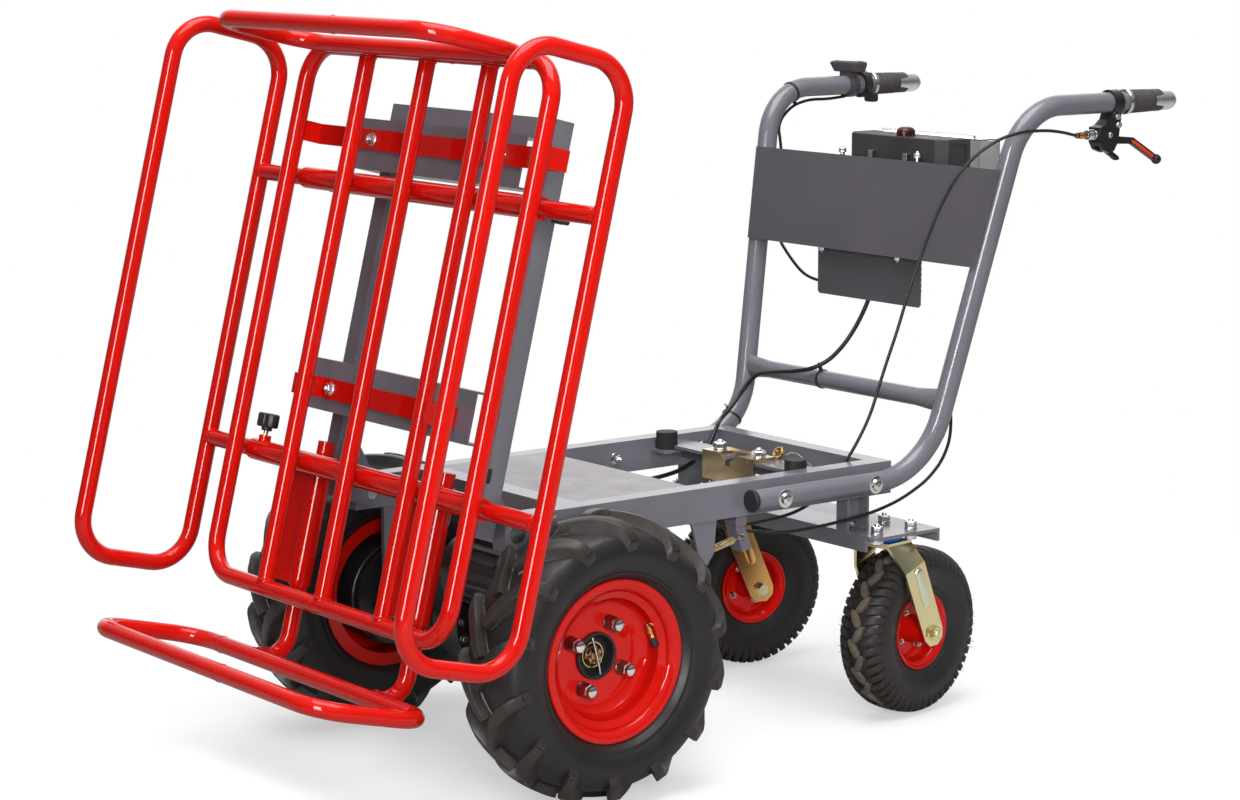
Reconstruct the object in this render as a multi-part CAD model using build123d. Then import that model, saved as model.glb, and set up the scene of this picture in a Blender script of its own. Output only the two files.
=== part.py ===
"""Electric wheelbarrow with a tipping rack of red tube, two driven wheels and two casters."""
import os
from math import cos, hypot, pi, radians, sin, tan

from build123d import *

# Frame while modelling: ground at z = 0, the rack leads at -Y, the handles trail at +Y and
# +X is the operator's left. Sizes are millimetres.

# Front wheels
WHEEL_X = 302.0
AXLE_Y = -15.0
AXLE_Z = 205.0
TYRE_INSET = 19.5
TYRE_HALF = 70.0
LUG_COUNT = 14
LUG_NUT_CIRCLE_R = 50.0
LUG_NUT_START = 62.0
DRUM_R = 80.0
SHAFT_R = 12.5

# Casters
CASTER_X = 206.0
CASTER_Y = 592.0
CASTER_TRAIL = 66.0
CASTER_R = 130.0
CASTER_HALF = 41.0
CASTER_REST_ANGLE = 8.5
CASTER_AXLE_R = 6.0
KINGPIN_R = 8.0

# Chassis rails and cross members
RAIL_OUT = 205.0
RAIL_IN = 175.0
RAIL_LOW = 350.0
RAIL_TOP = 400.0
RAIL_FRONT = -112.0
RAIL_BACK = 610.0
DECK_FRONT = 36.0
DECK_BACK = 235.0
CROSS_PLATE_TOP = 391.0
ARM_HALF = 268.0
ARM_FRONT = 522.0
ARM_BACK = 654.0
ARM_LIP_HALF = 246.0
ARM_TOP = 300.0
SHEET = 5.0

# Pivot of the brake arm under the left rail
BRAKE_PIVOT_Y = 326.0
BRAKE_PIVOT_Z = 341.0
BRAKE_PIN_R = 5.0

# Handle tubes, as the corners of the left tube's centre line
HANDLE_R = 16.0
HANDLE_FOOT_Y = 318.0
HANDLE_FOOT = (221.0, 666.0, 374.0)
HANDLE_HEAD = (292.5, 789.5, 934.0)
HANDLE_END_Y = 1118.0
GRIP_START_Y = 1005.0
CAP_START_Y = 1069.0
GRIP_R = 17.5
SPIGOT_R = 11.0
FOOT_BEND = 120.0
HEAD_BEND = 95.0
BRACE_Z = 487.0

# Tipping bed, in its own coordinates: x across, v up the rack, n towards the load
BED_Y = -212.6
BED_Z = 437.4
BED_LEAN = 14.08
TUBE_R = 12.5
SLEEVE_R = 16.0
SLEEVE_BORE = 12.9
PANEL_HALF = 306.0
PANEL_V = (-188.5, 605.0)
PANEL_N = 28.0
BAR_X = (-153.0, 0.0, 153.0)
BAR_R = 12.2
SLEEVE_V = (0.0, 411.0)
SLEEVE_HALF = 296.0
SOCKET_X = 155.0
SOCKET_N = -31.5
SOCKET_V = (-180.0, 14.0)
LEG_TOP_V = 34.0
WING_X = 429.0
WING_V = (-202.0, 609.0)
WING_DEPTH = 187.0
WALL_V = -289.0
WALL_N = (26.0, 206.0)
WALL_HALF = 309.0
REAR_HALF = 282.0
REAR_N = (52.8, 216.0)
UPRIGHT_X = (174.0, 204.0)
UPRIGHT_N = (-94.0, -64.0)
UPRIGHT_V = (-45.0, 541.0)
STRIP_N = (-18.0, -13.0)
HINGE_Y = -93.0
HINGE_Z = 375.0
HINGE_R = 8.0
STRIKER_N = -121.2

# Clamp knobs: x of the lower and of the upper pair
KNOB_R = 16.0
LOWER_KNOB_X = 273.0
UPPER_KNOB_X = 280.0
SCREW_R = 4.0
SCREW_TIP = 13.3

RUN_GAP = 0.05

LEAN_SIN = sin(radians(BED_LEAN))
LEAN_COS = cos(radians(BED_LEAN))
BED = Plane(origin=(0, BED_Y, BED_Z), x_dir=(1, 0, 0), z_dir=(0, -LEAN_COS, LEAN_SIN)).location
RACK_NOSE_Y = BED_Y + WALL_V * LEAN_SIN - WALL_N[1] * LEAN_COS - TUBE_R
FRAME_SHIFT = -(HANDLE_END_Y + RACK_NOSE_Y) / 2

parts = {}


# Shared forms

def rod(start, end, radius):
    """Round bar from one point to another."""
    along = Vector(*end) - Vector(*start)
    return Solid.make_cylinder(radius, along.length, Plane(origin=start, z_dir=along))


def block(low, high):
    """Box between two corners."""
    size = [b - a for a, b in zip(low, high)]
    return Pos(*low) * Solid.make_box(*size)


def bent_tube(points, bends, radius):
    """Round bar along straight runs joined by tangent bends."""
    path = FilletPolyline(*points, radius=bends)
    return sweep(Plane(origin=path @ 0, z_dir=path % 0) * Circle(radius), path=path)


def loop_tube(plane, width, height, bend):
    """Closed loop of rack tube, a rectangle with bent corners on the given plane."""
    path = (plane * RectangleRounded(width, height, bend)).wire()
    return sweep(Plane(origin=path @ 0, z_dir=path % 0) * Circle(TUBE_R), path=path)


def plate(plane, outline, thickness):
    """Flat plate with a straight-sided outline, extruded from a plane."""
    return extrude(plane * make_face(Polyline(*outline, close=True)), thickness)


def fuse(first, *others):
    """One solid from touching pieces."""
    return first.fuse(*others)


def mirrored(shape):
    """The same piece on the other side of the middle plane."""
    return mirror(shape, about=Plane.YZ)


def on_sides(make):
    """A left piece and its mirror image."""
    left = make()
    return left, mirrored(left)


# Chassis

def chassis_frame():
    """Welded frame: box rails, cross rails, drop plates to the axle, rear posts and tabs."""
    rail = block((RAIL_IN, RAIL_FRONT, RAIL_LOW), (RAIL_OUT, RAIL_BACK, RAIL_TOP))
    hinge = rod((RAIL_IN - 1, HINGE_Y, HINGE_Z), (RAIL_OUT + 1, HINGE_Y, HINGE_Z), HINGE_R)
    drop = block((180, AXLE_Y - 45, AXLE_Z - 34), (188, AXLE_Y + 45, RAIL_LOW))
    drop = fillet(drop.edges().filter_by(Axis.X).group_by(Axis.Z)[0], 30)
    axle_hole = rod((179, AXLE_Y, AXLE_Z), (189, AXLE_Y, AXLE_Z), 25)
    post = block((180, ARM_FRONT, ARM_TOP), (RAIL_OUT, ARM_FRONT + 44, RAIL_LOW))
    post_hollow = block((184, ARM_FRONT + 4, ARM_TOP), (RAIL_OUT, ARM_FRONT + 40, RAIL_LOW))
    tab = plate(
        Plane(origin=(197, 0, 0), x_dir=(0, 1, 0), z_dir=(1, 0, 0)),
        [(222, RAIL_LOW), (269, RAIL_LOW), (264, 300), (252, 284), (242, 284), (236, 300)],
        SHEET,
    )
    spring_peg = rod((185, 256, 299), (197, 256, 299), 3)
    arm_lug = block((184, BRAKE_PIVOT_Y - 10, 331), (190, BRAKE_PIVOT_Y + 10, RAIL_LOW))
    arm_pin = rod((157, BRAKE_PIVOT_Y, BRAKE_PIVOT_Z), (190, BRAKE_PIVOT_Y, BRAKE_PIVOT_Z), BRAKE_PIN_R)
    side = fuse(rail, post - post_hollow, drop - axle_hole, tab) - hinge
    left_side = fuse(side, spring_peg, arm_lug, arm_pin)
    front = block((-RAIL_IN, 0, RAIL_LOW), (RAIL_IN, DECK_FRONT, RAIL_TOP))
    back = block((-RAIL_IN, 580, RAIL_LOW), (RAIL_IN, RAIL_BACK, RAIL_TOP))
    cross = block((-RAIL_IN, 461, CROSS_PLATE_TOP - SHEET), (RAIL_IN, 510, CROSS_PLATE_TOP))
    lip = block((-RAIL_IN, 505, 362), (RAIL_IN, 510, CROSS_PLATE_TOP))
    slot = block((-14, 455, 340), (14, 484, RAIL_TOP))
    seats = [rod((x, 460, 384), (x, 460, 395), 18) for x in (-156, 156)]
    shelf = block((137, 440, 379), (RAIL_IN, 482, 384))
    cross = fuse(cross, lip) - slot - seats
    return fuse(left_side, mirrored(side), front, back, cross, shelf, mirrored(shelf))


def deck_sheet():
    """Flat sheet let in flush between the rails behind the front cross rail."""
    return block((-RAIL_IN, DECK_FRONT, RAIL_TOP - 3), (RAIL_IN, DECK_BACK, RAIL_TOP))


def caster_crossarm():
    """Folded channel under the rear posts that carries both casters."""
    web = block((-ARM_HALF, ARM_FRONT, ARM_TOP - SHEET), (ARM_HALF, ARM_BACK, ARM_TOP))
    front = block((-ARM_LIP_HALF, ARM_FRONT, ARM_TOP - 25), (ARM_LIP_HALF, ARM_FRONT + SHEET, ARM_TOP))
    back = block((-ARM_HALF, ARM_BACK - SHEET, ARM_TOP - 20), (ARM_HALF, ARM_BACK, ARM_TOP))
    web = fillet(web.edges().filter_by(Axis.Z).group_by(Axis.Y)[0], 12)
    return fuse(web, front, back)


def rubber_buffers():
    """Round rubber stops that the lowered tilt frame comes down on."""
    buffer = rod((156, 460, 384), (156, 460, 411.5), 17)
    return Compound([buffer, mirrored(buffer)])


def hinge_pins():
    """Headed pins through the rail ends, on which the bed tips."""
    pin = fuse(
        rod((160, HINGE_Y, HINGE_Z), (RAIL_OUT, HINGE_Y, HINGE_Z), HINGE_R),
        rod((RAIL_OUT, HINGE_Y, HINGE_Z), (RAIL_OUT + 4, HINGE_Y, HINGE_Z), 13),
    )
    return Compound([pin, mirrored(pin)])


def latch_plate():
    """Angle plate of the slam latch, with a lead-in notch for the striker and a claw pin."""
    face = plate(
        Plane(origin=(0, 461, 0), x_dir=(1, 0, 0), z_dir=(0, -1, 0)),
        [(-62, 352), (62, 352), (62, 397), (24, 397), (6, 386), (6, 378), (-6, 378), (-6, 386),
         (-24, 397), (-62, 397)],
        SHEET,
    )
    flange = block((-62, 461, CROSS_PLATE_TOP), (62, 500, 397))
    slot = block((-24, 450, 378), (24, 484, 410))
    pin = rod((30, 461, 366), (30, 469, 366), 4)
    bolts = [rod((x, 480, 397), (x, 480, 405), 9) for x in (-47, 47)]
    return fuse(face, flange - slot, pin, *bolts)


def latch_claw():
    """Hooked plate that turns on its pin and closes over the striker."""
    ring = Pos(30, 366) * Circle(10)
    hook = make_face(Polyline((22, 372), (12, 372), (-12, 368), (-15, 374), (10, 379), (28, 378), close=True))
    shape = (ring + hook) - Pos(30, 366) * Circle(4 + RUN_GAP)
    claw_plane = Plane(origin=(0, 467, 0), x_dir=(1, 0, 0), z_dir=(0, -1, 0))
    return extrude(claw_plane * shape, 5)


def brake_arm():
    """Flat lever under the left rail that the brake cable pulls."""
    eye = rod((158, BRAKE_PIVOT_Y, BRAKE_PIVOT_Z), (182, BRAKE_PIVOT_Y, BRAKE_PIVOT_Z), 8.5)
    bar = plate(
        Plane(origin=(158, BRAKE_PIVOT_Y, BRAKE_PIVOT_Z), x_dir=(0, 1, 0), z_dir=(1, 0, 0)),
        [(-8, -1), (9, -52), (27, -47.5), (8, 1)], 24
    )
    peg = rod((182, BRAKE_PIVOT_Y + 7, BRAKE_PIVOT_Z - 29), (190, BRAKE_PIVOT_Y + 7, BRAKE_PIVOT_Z - 29), 3)
    bore_r = BRAKE_PIN_R + RUN_GAP
    bore = rod((150, BRAKE_PIVOT_Y, BRAKE_PIVOT_Z), (190, BRAKE_PIVOT_Y, BRAKE_PIVOT_Z), bore_r)
    return fuse(eye, bar, peg) - bore


def brake_spring():
    """Extension spring from the frame tab to the brake arm: one wire wound in close turns."""
    turns = 10
    coil_r = 4.4
    wire_r = 0.9
    start = Vector(187.5, 260.5, 300.0)
    end = Vector(187.5, BRAKE_PIVOT_Y + 1.5, BRAKE_PIVOT_Z - 26.5)
    axis = end - start
    frame = Plane(origin=start, x_dir=(1, 0, 0), z_dir=axis)
    leg = 17.0
    pitch = (axis.length - 2 * leg) / turns
    quarter = pi / 2

    def coil_point(angle):
        return Vector(coil_r * cos(angle), coil_r * sin(angle), leg + pitch * angle / (2 * pi))

    def coil_heading(angle):
        return Vector(-coil_r * sin(angle), coil_r * cos(angle), pitch / (2 * pi)).normalized()

    edges = []
    for step in range(4 * turns):
        here, there = step * quarter, (step + 1) * quarter
        edges += biarc(coil_point(here), coil_heading(here), coil_point(there), coil_heading(there))
    first, last = coil_point(0), coil_point(4 * turns * quarter)
    tail = 2 * wire_r
    lead_in = Edge.make_line(first - coil_heading(0) * tail, first)
    lead_out = Edge.make_line(last, last + coil_heading(4 * turns * quarter) * tail)
    wire = Wire([lead_in] + edges + [lead_out])
    coil = sweep(Plane(origin=wire @ 0, z_dir=wire % 0) * Circle(wire_r), path=wire)
    per_turn = 24
    count = per_turn * turns
    points = [wire @ (index / count) for index in range(count + 1)]
    nearest = min(
        (here - there).length for index, here in enumerate(points) for there in points[index + per_turn // 2:]
    )
    print("brake spring least gap to itself", round(nearest - 2 * wire_r, 2))
    return frame.location * coil


def biarc(start, start_heading, end, end_heading):
    """Two arcs that leave start and reach end along the given headings."""
    span = end - start
    both = start_heading + end_heading
    a = 2 * (1 - start_heading.dot(end_heading))
    b = 2 * span.dot(both)
    reach = (-b + (b * b + 4 * a * span.dot(span)) ** 0.5) / (2 * a)
    near, far = start + start_heading * reach, end - end_heading * reach
    middle = (near + far) * 0.5
    return [
        Edge.make_tangent_arc(start, start_heading, middle),
        Edge.make_tangent_arc(middle, (far - near).normalized(), end),
    ]


# Handle and controls

HEAD_SLOPE = (HANDLE_HEAD[1] - HANDLE_FOOT[1]) / (HANDLE_HEAD[2] - HANDLE_FOOT[2])
HEAD_SPLAY = (HANDLE_HEAD[0] - HANDLE_FOOT[0]) / (HANDLE_HEAD[2] - HANDLE_FOOT[2])
GRIP_X = HANDLE_HEAD[0]
GRIP_Z = HANDLE_HEAD[2]


def tube_at(z):
    """Centre of the left upright tube at a height."""
    rise = z - HANDLE_FOOT[2]
    return HANDLE_FOOT[0] + HEAD_SPLAY * rise, HANDLE_FOOT[1] + HEAD_SLOPE * rise, z


def handle_left():
    """Bent tube from the rail's side up to the left grip, turned down to a spigot in the grip."""
    points = [
        (HANDLE_FOOT[0], HANDLE_FOOT_Y, HANDLE_FOOT[2]), HANDLE_FOOT, HANDLE_HEAD,
        (GRIP_X, GRIP_START_Y, GRIP_Z),
    ]
    tube = bent_tube(points, [FOOT_BEND, HEAD_BEND], HANDLE_R)
    spigot = rod((GRIP_X, GRIP_START_Y, GRIP_Z), (GRIP_X, HANDLE_END_Y - 10, GRIP_Z), SPIGOT_R)
    return fuse(tube, spigot)


def handle_brace():
    """Cross tube between the uprights, flattened where it is welded to them."""
    x, y, z = tube_at(BRACE_Z)
    inner = x - 60
    middle = rod((-inner, y, z), (inner, y, z), 14)
    seats = []
    for side in (-1, 1):
        from_face = Plane(origin=(side * inner, y, z), x_dir=(0, 1, 0), z_dir=(side, 0, 0))
        to_face = Plane(origin=(side * (x - 2), y, z), x_dir=(0, 1, 0), z_dir=(side, 0, 0))
        seats.append(loft([from_face * Ellipse(14, 14), to_face * Ellipse(10, 19)]))
    return fuse(middle, *seats) - uprights_only()


def uprights_only():
    """Both upright tubes, as the shape that welded pieces are coped to."""
    low, high = tube_at(420), tube_at(900)
    upright = rod(low, high, HANDLE_R)
    return Compound([upright, mirrored(upright)])


PLATE_LOW_Z = 695.0
PLATE_TOP_Z = 837.0
SHELF_Z = 694.0
PLATE_TILT = Plane(
    origin=(0, tube_at(PLATE_LOW_Z)[1], PLATE_LOW_Z), x_dir=(1, 0, 0), z_dir=(0, -1, HEAD_SLOPE)
)


def panel_plate():
    """Sheet across the front of the uprights, folded back at the bottom into a shelf."""
    height = (PLATE_TOP_Z - PLATE_LOW_Z) * hypot(1, HEAD_SLOPE)
    front = PLATE_TILT.offset(HANDLE_R)
    sheet = plate(front, [(-267, -6), (267, -6), (285, height), (-285, height)], 3)
    front_y = tube_at(PLATE_LOW_Z)[1] - HANDLE_R - 2
    shelf = block((-150, front_y, SHELF_Z), (150, 832, SHELF_Z + 3))
    return fuse(sheet, shelf)


def controller_box():
    """Motor controller hung under the shelf behind its own guard plate."""
    guard = block((-111, 735, 616), (129, 738, SHELF_Z))
    guard = chamfer(guard.edges().filter_by(Axis.Y).group_by(Axis.Z)[0], 4)
    case = block((-90, 738, 625), (85, 778, SHELF_Z))
    fins = [block((-86, 778, z), (81, 784, z + 3)) for z in range(632, 690, 9)]
    return fuse(guard, chamfer(case.edges().filter_by(Axis.X).group_by(Axis.Y)[-1], 3), *fins)


BATTERY_LOW = (-76.0, 760.0, SHELF_Z + 3)
BATTERY_HIGH = (146.0, 822.0, 877.0)
CASE_CORNER = 15.0
CASE_WALL = 4.0


def battery_box():
    """Moulded battery case behind the plate: cut-off front corners, a dished end and a rear socket."""
    low, high = BATTERY_LOW, BATTERY_HIGH
    shell = block(low, high)
    shell = chamfer(shell.edges().filter_by(Axis.Z).group_by(Axis.Y)[0], CASE_CORNER)
    shell = fillet(shell.edges().group_by(Axis.Z)[-1], 2.5)
    dish = block((high[0] - 2, low[1] + 22, 845), (high[0] + 1, high[1] - 8, high[2] - 8))
    socket = rod((110, high[1] - CASE_WALL, 846), (110, high[1] + 14, 846), 13)
    socket = socket - rod((110, high[1] + 4, 846), (110, high[1] + 15, 846), 10)
    hollow = block(case_inside(low, 1), case_inside(high, -1))
    return fuse(shell - dish, socket) - hollow


def case_inside(corner, side):
    """Corner of the room inside the battery case, clear of the cut-off front corners."""
    x, y, z = corner
    depth = CASE_CORNER if side > 0 else CASE_WALL
    return x + side * (CASE_WALL + 6), y + side * depth, z + side * CASE_WALL


COVER_HINGE_Y = 826.5
COVER_HINGE_Z = 878.5


def battery_pack():
    """Sealed battery inside the case."""
    low, high = case_inside(BATTERY_LOW, 1), case_inside(BATTERY_HIGH, -1)
    return block((low[0] + 2, low[1] + 2, low[2]), (high[0] - 2, high[1] - 2, high[2] - 16))


def clear_cover():
    """Clear lid over the socket side of the battery case, hinged along its top front edge."""
    outer = block((-72, 823.5, 816), (165, 872, 876))
    outer = fillet(outer.edges().group_by(Axis.Y)[-1], 8)
    inner = block((-69.5, 823, 818.5), (162.5, 869.5, 873.5))
    inner = fillet(inner.edges().group_by(Axis.Y)[-1], 6)
    knuckle = rod((-60, COVER_HINGE_Y, COVER_HINGE_Z), (150, COVER_HINGE_Y, COVER_HINGE_Z), 3)
    return fuse(outer - inner, knuckle)


def power_knob():
    """Domed knob of the main switch on the battery case."""
    foot = (46, 778, BATTERY_HIGH[2] + 0.4)
    knob = rod(foot, (46, 778, 891), 15)
    return fillet(knob.edges().filter_by(GeomType.CIRCLE).sort_by(Axis.Z)[-1], 9)


def grips():
    """Ribbed rubber sleeves on the handle spigots."""
    start, end = GRIP_START_Y, CAP_START_Y
    groove_count = 11
    step = (end - start - 16) / groove_count
    edge = [(SPIGOT_R, start), (GRIP_R + 2, start), (GRIP_R + 2, start + 8), (GRIP_R, start + 11)]
    for index in range(groove_count):
        low = start + 13 + index * step
        edge += [(GRIP_R, low), (GRIP_R - 1.3, low + 0.3 * step), (GRIP_R, low + 0.6 * step)]
    edge += [(GRIP_R, end), (SPIGOT_R, end)]
    grip = revolve(make_face(Polyline(*edge, close=True)), Axis.Y)
    left = Pos(GRIP_X, 0, GRIP_Z) * grip
    return Compound([left, mirrored(left)])


def grip_caps():
    """Bright domed end caps that slip over the ends of the spigots."""
    cap = rod((GRIP_X, CAP_START_Y, GRIP_Z), (GRIP_X, HANDLE_END_Y, GRIP_Z), GRIP_R)
    cap = fillet(cap.edges().filter_by(GeomType.CIRCLE).sort_by(Axis.Y)[-1], 13)
    cap = cap - rod((GRIP_X, CAP_START_Y - 1, GRIP_Z), (GRIP_X, HANDLE_END_Y - 10, GRIP_Z), SPIGOT_R)
    return Compound([cap, mirrored(cap)])


PERCH_Y = 966.0
PERCH_Z = 885.0
LOCK_Y = 968.0
LOCK_Z = 865.0


def brake_perch():
    """Clamp on the left handle with the ears of the brake lever and the cable adjuster."""
    ring = rod((GRIP_X, 972, GRIP_Z), (GRIP_X, 990, GRIP_Z), HANDLE_R + 4)
    bore = rod((GRIP_X, 970, GRIP_Z), (GRIP_X, 992, GRIP_Z), HANDLE_R)
    outline = [(944, 897), (944, 874), (952, 862), (966, 857), (976, 860), (985, 874), (987, 890), (990, 908),
               (990, 922), (972, 922), (966, 908), (956, 900)]
    body = plate(
        Plane(origin=(GRIP_X - 12, 0, 0), x_dir=(0, 1, 0), z_dir=(1, 0, 0)), outline, 24
    )
    slot = block((GRIP_X - 4.5, 948, 850), (GRIP_X + 4.5, 995, 898))
    pins = [
        rod((GRIP_X - 12, PERCH_Y, PERCH_Z), (GRIP_X + 12, PERCH_Y, PERCH_Z), 3.5),
        rod((GRIP_X - 12, LOCK_Y, LOCK_Z), (GRIP_X + 12, LOCK_Y, LOCK_Z), 2.5),
    ]
    barrel = rod((GRIP_X, 926, 886), (GRIP_X, 944, 886), 7)
    nose = rod((GRIP_X, 905, 886), (GRIP_X, 926, 886), 4.5)
    return fuse((fuse(ring, body) - slot) - bore, *pins, barrel, nose)


def brake_lever():
    """Finger lever under the left grip, ending in a ball."""
    outline = [(958, 893), (973, 893), (986, 882), (1027, 878), (1084, 846), (1082, 836), (1024, 868),
               (984, 870), (974, 876), (958, 880)]
    blade = plate(
        Plane(origin=(GRIP_X - 4, 0, 0), x_dir=(0, 1, 0), z_dir=(1, 0, 0)), outline, 8
    )
    ball = Pos(GRIP_X, 1084, 841) * Sphere(8)
    bore = rod((GRIP_X - 9, PERCH_Y, PERCH_Z), (GRIP_X + 9, PERCH_Y, PERCH_Z), 3.5 + RUN_GAP)
    return fuse(blade, ball) - bore


def lock_lever():
    """Small catch under the perch that holds the brake lever pulled."""
    blade = plate(
        Plane(origin=(GRIP_X - 3, 0, 0), x_dir=(0, 1, 0), z_dir=(1, 0, 0)),
        [(963, 869), (971, 870), (984, 857), (996, 850), (998, 845), (990, 844), (977, 852), (964, 860)], 6
    )
    bore = rod((GRIP_X - 9, LOCK_Y, LOCK_Z), (GRIP_X + 9, LOCK_Y, LOCK_Z), 2.5 + RUN_GAP)
    return blade - bore


def display_unit():
    """Battery display clamped on the right handle."""
    ring = rod((-GRIP_X, 950, GRIP_Z), (-GRIP_X, 968, GRIP_Z), HANDLE_R + 4)
    bore = rod((-GRIP_X, 948, GRIP_Z), (-GRIP_X, 970, GRIP_Z), HANDLE_R)
    case = block((-GRIP_X - 34, 944, 951), (-GRIP_X + 30, 976, 974))
    case = fillet(case.edges().filter_by(Axis.Z), 8)
    case = chamfer(case.edges().filter_by(Axis.X).group_by(Axis.Z)[-1], 4)
    return fuse(ring, case) - bore


def throttle_lever():
    """Thumb throttle: a ring that turns on the right handle, with a paddle below it."""
    ring = rod((-GRIP_X, 982, GRIP_Z), (-GRIP_X, 996, GRIP_Z), HANDLE_R + 6)
    paddle = block((-GRIP_X + 14, 982, 906), (-GRIP_X + 40, 990, 922))
    paddle = fillet(paddle.edges().filter_by(Axis.Y), 5)
    bore = rod((-GRIP_X, 980, GRIP_Z), (-GRIP_X, 998, GRIP_Z), HANDLE_R + RUN_GAP)
    return fuse(ring, paddle) - bore


# Cables held along their whole length, each as the corners of its route

BRAKE_ROUTE = [
    (292.5, 904, 886), (303, 868, 893), (312, 824, 899), (314, 771, 900), (304, 737, 892),
    (287, 720, 878), (268, 706, 858), (252, 693, 833), (226, 683, 785), (207, 672, 728),
    (200, 663, 692), (193, 652, 655), (185, 639, 599), (181, 615, 537),
    (173, 594, 464), (163, 568, 412), (158, 537, 374), (159, 500, 345), (162, 455, 331),
    (165, 405, 327), (166, 351, 326),
]
MOTOR_ROUTE = [
    (-11, 760, 623.5), (-15, 752, 600), (-19, 736, 570), (-20, 712, 543), (-31, 691, 519), (-50, 673, 505),
    (-85, 664, 497), (-128, 662, 491), (-178, 664, 482), (-200, 655, 455), (-199, 628, 428), (-190, 598, 412),
    (-164, 570, 408), (-154, 544, 378), (-156, 500, 347), (-158, 446, 338), (-157, 330, 336),
    (-146, 240, 337), (-112, 170, 338), (-58, 118, 338), (0, 80, 334), (50, 48, 322), (80, 16, 306),
]
SENSOR_ROUTE = [
    (54, 785.3, 681), (64, 808, 682), (92, 823, 685), (140, 825, 687), (180, 811, 683), (204, 787, 668),
    (212, 765, 645), (213, 751, 618), (213.5, 736, 580), (215, 723, 540), (221, 713, 497), (234, 707, 456),
    (239, 699, 424), (240, 682, 395), (236, 655, 368), (228, 608, 342), (216, 560, 326),
    (211, 510, 320), (206, 460, 315), (186, 412, 309), (150, 378, 310), (122, 325, 322),
    (112, 258, 333), (118, 188, 336), (124, 126, 332), (126, 70, 321), (126, 20, 306),
]
THROTTLE_ROUTE = [
    (-292.5, 949.5, 915), (-292.5, 912, 912), (-292, 870, 913), (-290, 830, 904), (-297, 806, 876),
    (-284, 803, 838), (-276, 796, 795), (-268, 786, 742), (-259, 775, 691), (-221, 770, 661),
    (-184, 766, 638), (-140, 759, 631), (-90.4, 757, 635),
]


def lead(name, route, radius):
    """Round cable along its route, with each bend as large as its two runs allow."""
    corners = [Vector(*point) for point in route]
    radii = []
    for before, corner, after in zip(corners, corners[1:], corners[2:]):
        arrive, leave = corner - before, after - corner
        turn = radians(arrive.get_angle(leave))
        radii.append(0.45 * min(arrive.length, leave.length) / tan(turn / 2))
    path = FilletPolyline(*route, radius=radii)
    cable = sweep(Plane(origin=path @ 0, z_dir=path % 0) * Circle(radius), path=path)
    share = cable.volume / (pi * radius**2 * path.length)
    print(name, "least radius", round(min(radii)), "length", round(path.length), "volume", round(share, 4))
    return cable


# Drive

def transaxle_housing():
    """Axle tubes, differential casing, gear case up to the motor, and brake back plates."""
    tube = rod((-204, AXLE_Y, AXLE_Z), (204, AXLE_Y, AXLE_Z), 25)
    half = [(-66, 0), (-66, 34), (-52, 52), (-28, 62), (34, 62), (34, 30), (60, 28), (60, 0)]
    casing = revolve(make_face(Polyline(*half, close=True)), Axis.X)
    casing = Pos(0, AXLE_Y, AXLE_Z) * casing
    gear_plane = Plane(origin=(8, 0, 0), x_dir=(0, 1, 0), z_dir=(1, 0, 0))
    gear_case = extrude(gear_plane * make_hull([
        *(Pos(AXLE_Y, AXLE_Z) * Circle(60)).edges(), *(Pos(MOTOR_Y, MOTOR_Z) * Circle(48)).edges()
    ]), 26)
    back = [Pos(x, AXLE_Y, AXLE_Z) * Rot(0, 90, 0) * Cylinder(77, 5) for x in (-205, 205)]
    bore = rod((-210, AXLE_Y, AXLE_Z), (210, AXLE_Y, AXLE_Z), SHAFT_R + RUN_GAP)
    return fuse(tube, casing, gear_case, *back) - bore


MOTOR_Y = -40.0
MOTOR_Z = 290.0
MOTOR_X = (34.0, 168.0)


def drive_motor():
    """Cast motor on the gear case, with cooling fins along its body and a plain end bell."""
    start, end = MOTOR_X
    body = rod((start, MOTOR_Y, MOTOR_Z), (end - 24, MOTOR_Y, MOTOR_Z), 47)
    bell = rod((end - 24, MOTOR_Y, MOTOR_Z), (end, MOTOR_Y, MOTOR_Z), 52)
    bell = chamfer(bell.edges().filter_by(GeomType.CIRCLE).sort_by(Axis.X)[-1], 7)
    fin = block((start + 4, -2, 40), (end - 24, 2, 55))
    fins = [Pos(0, MOTOR_Y, MOTOR_Z) * Rot(step * 360 / 18, 0, 0) * fin for step in range(18)]
    return fuse(body, bell, *fins)


def wheel_place(shape, side):
    """Puts a wheel piece, made about the X axis with its outside at +X, at a front wheel."""
    placed = Pos(WHEEL_X, AXLE_Y, AXLE_Z) * shape
    return placed if side > 0 else mirrored(placed)


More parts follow.
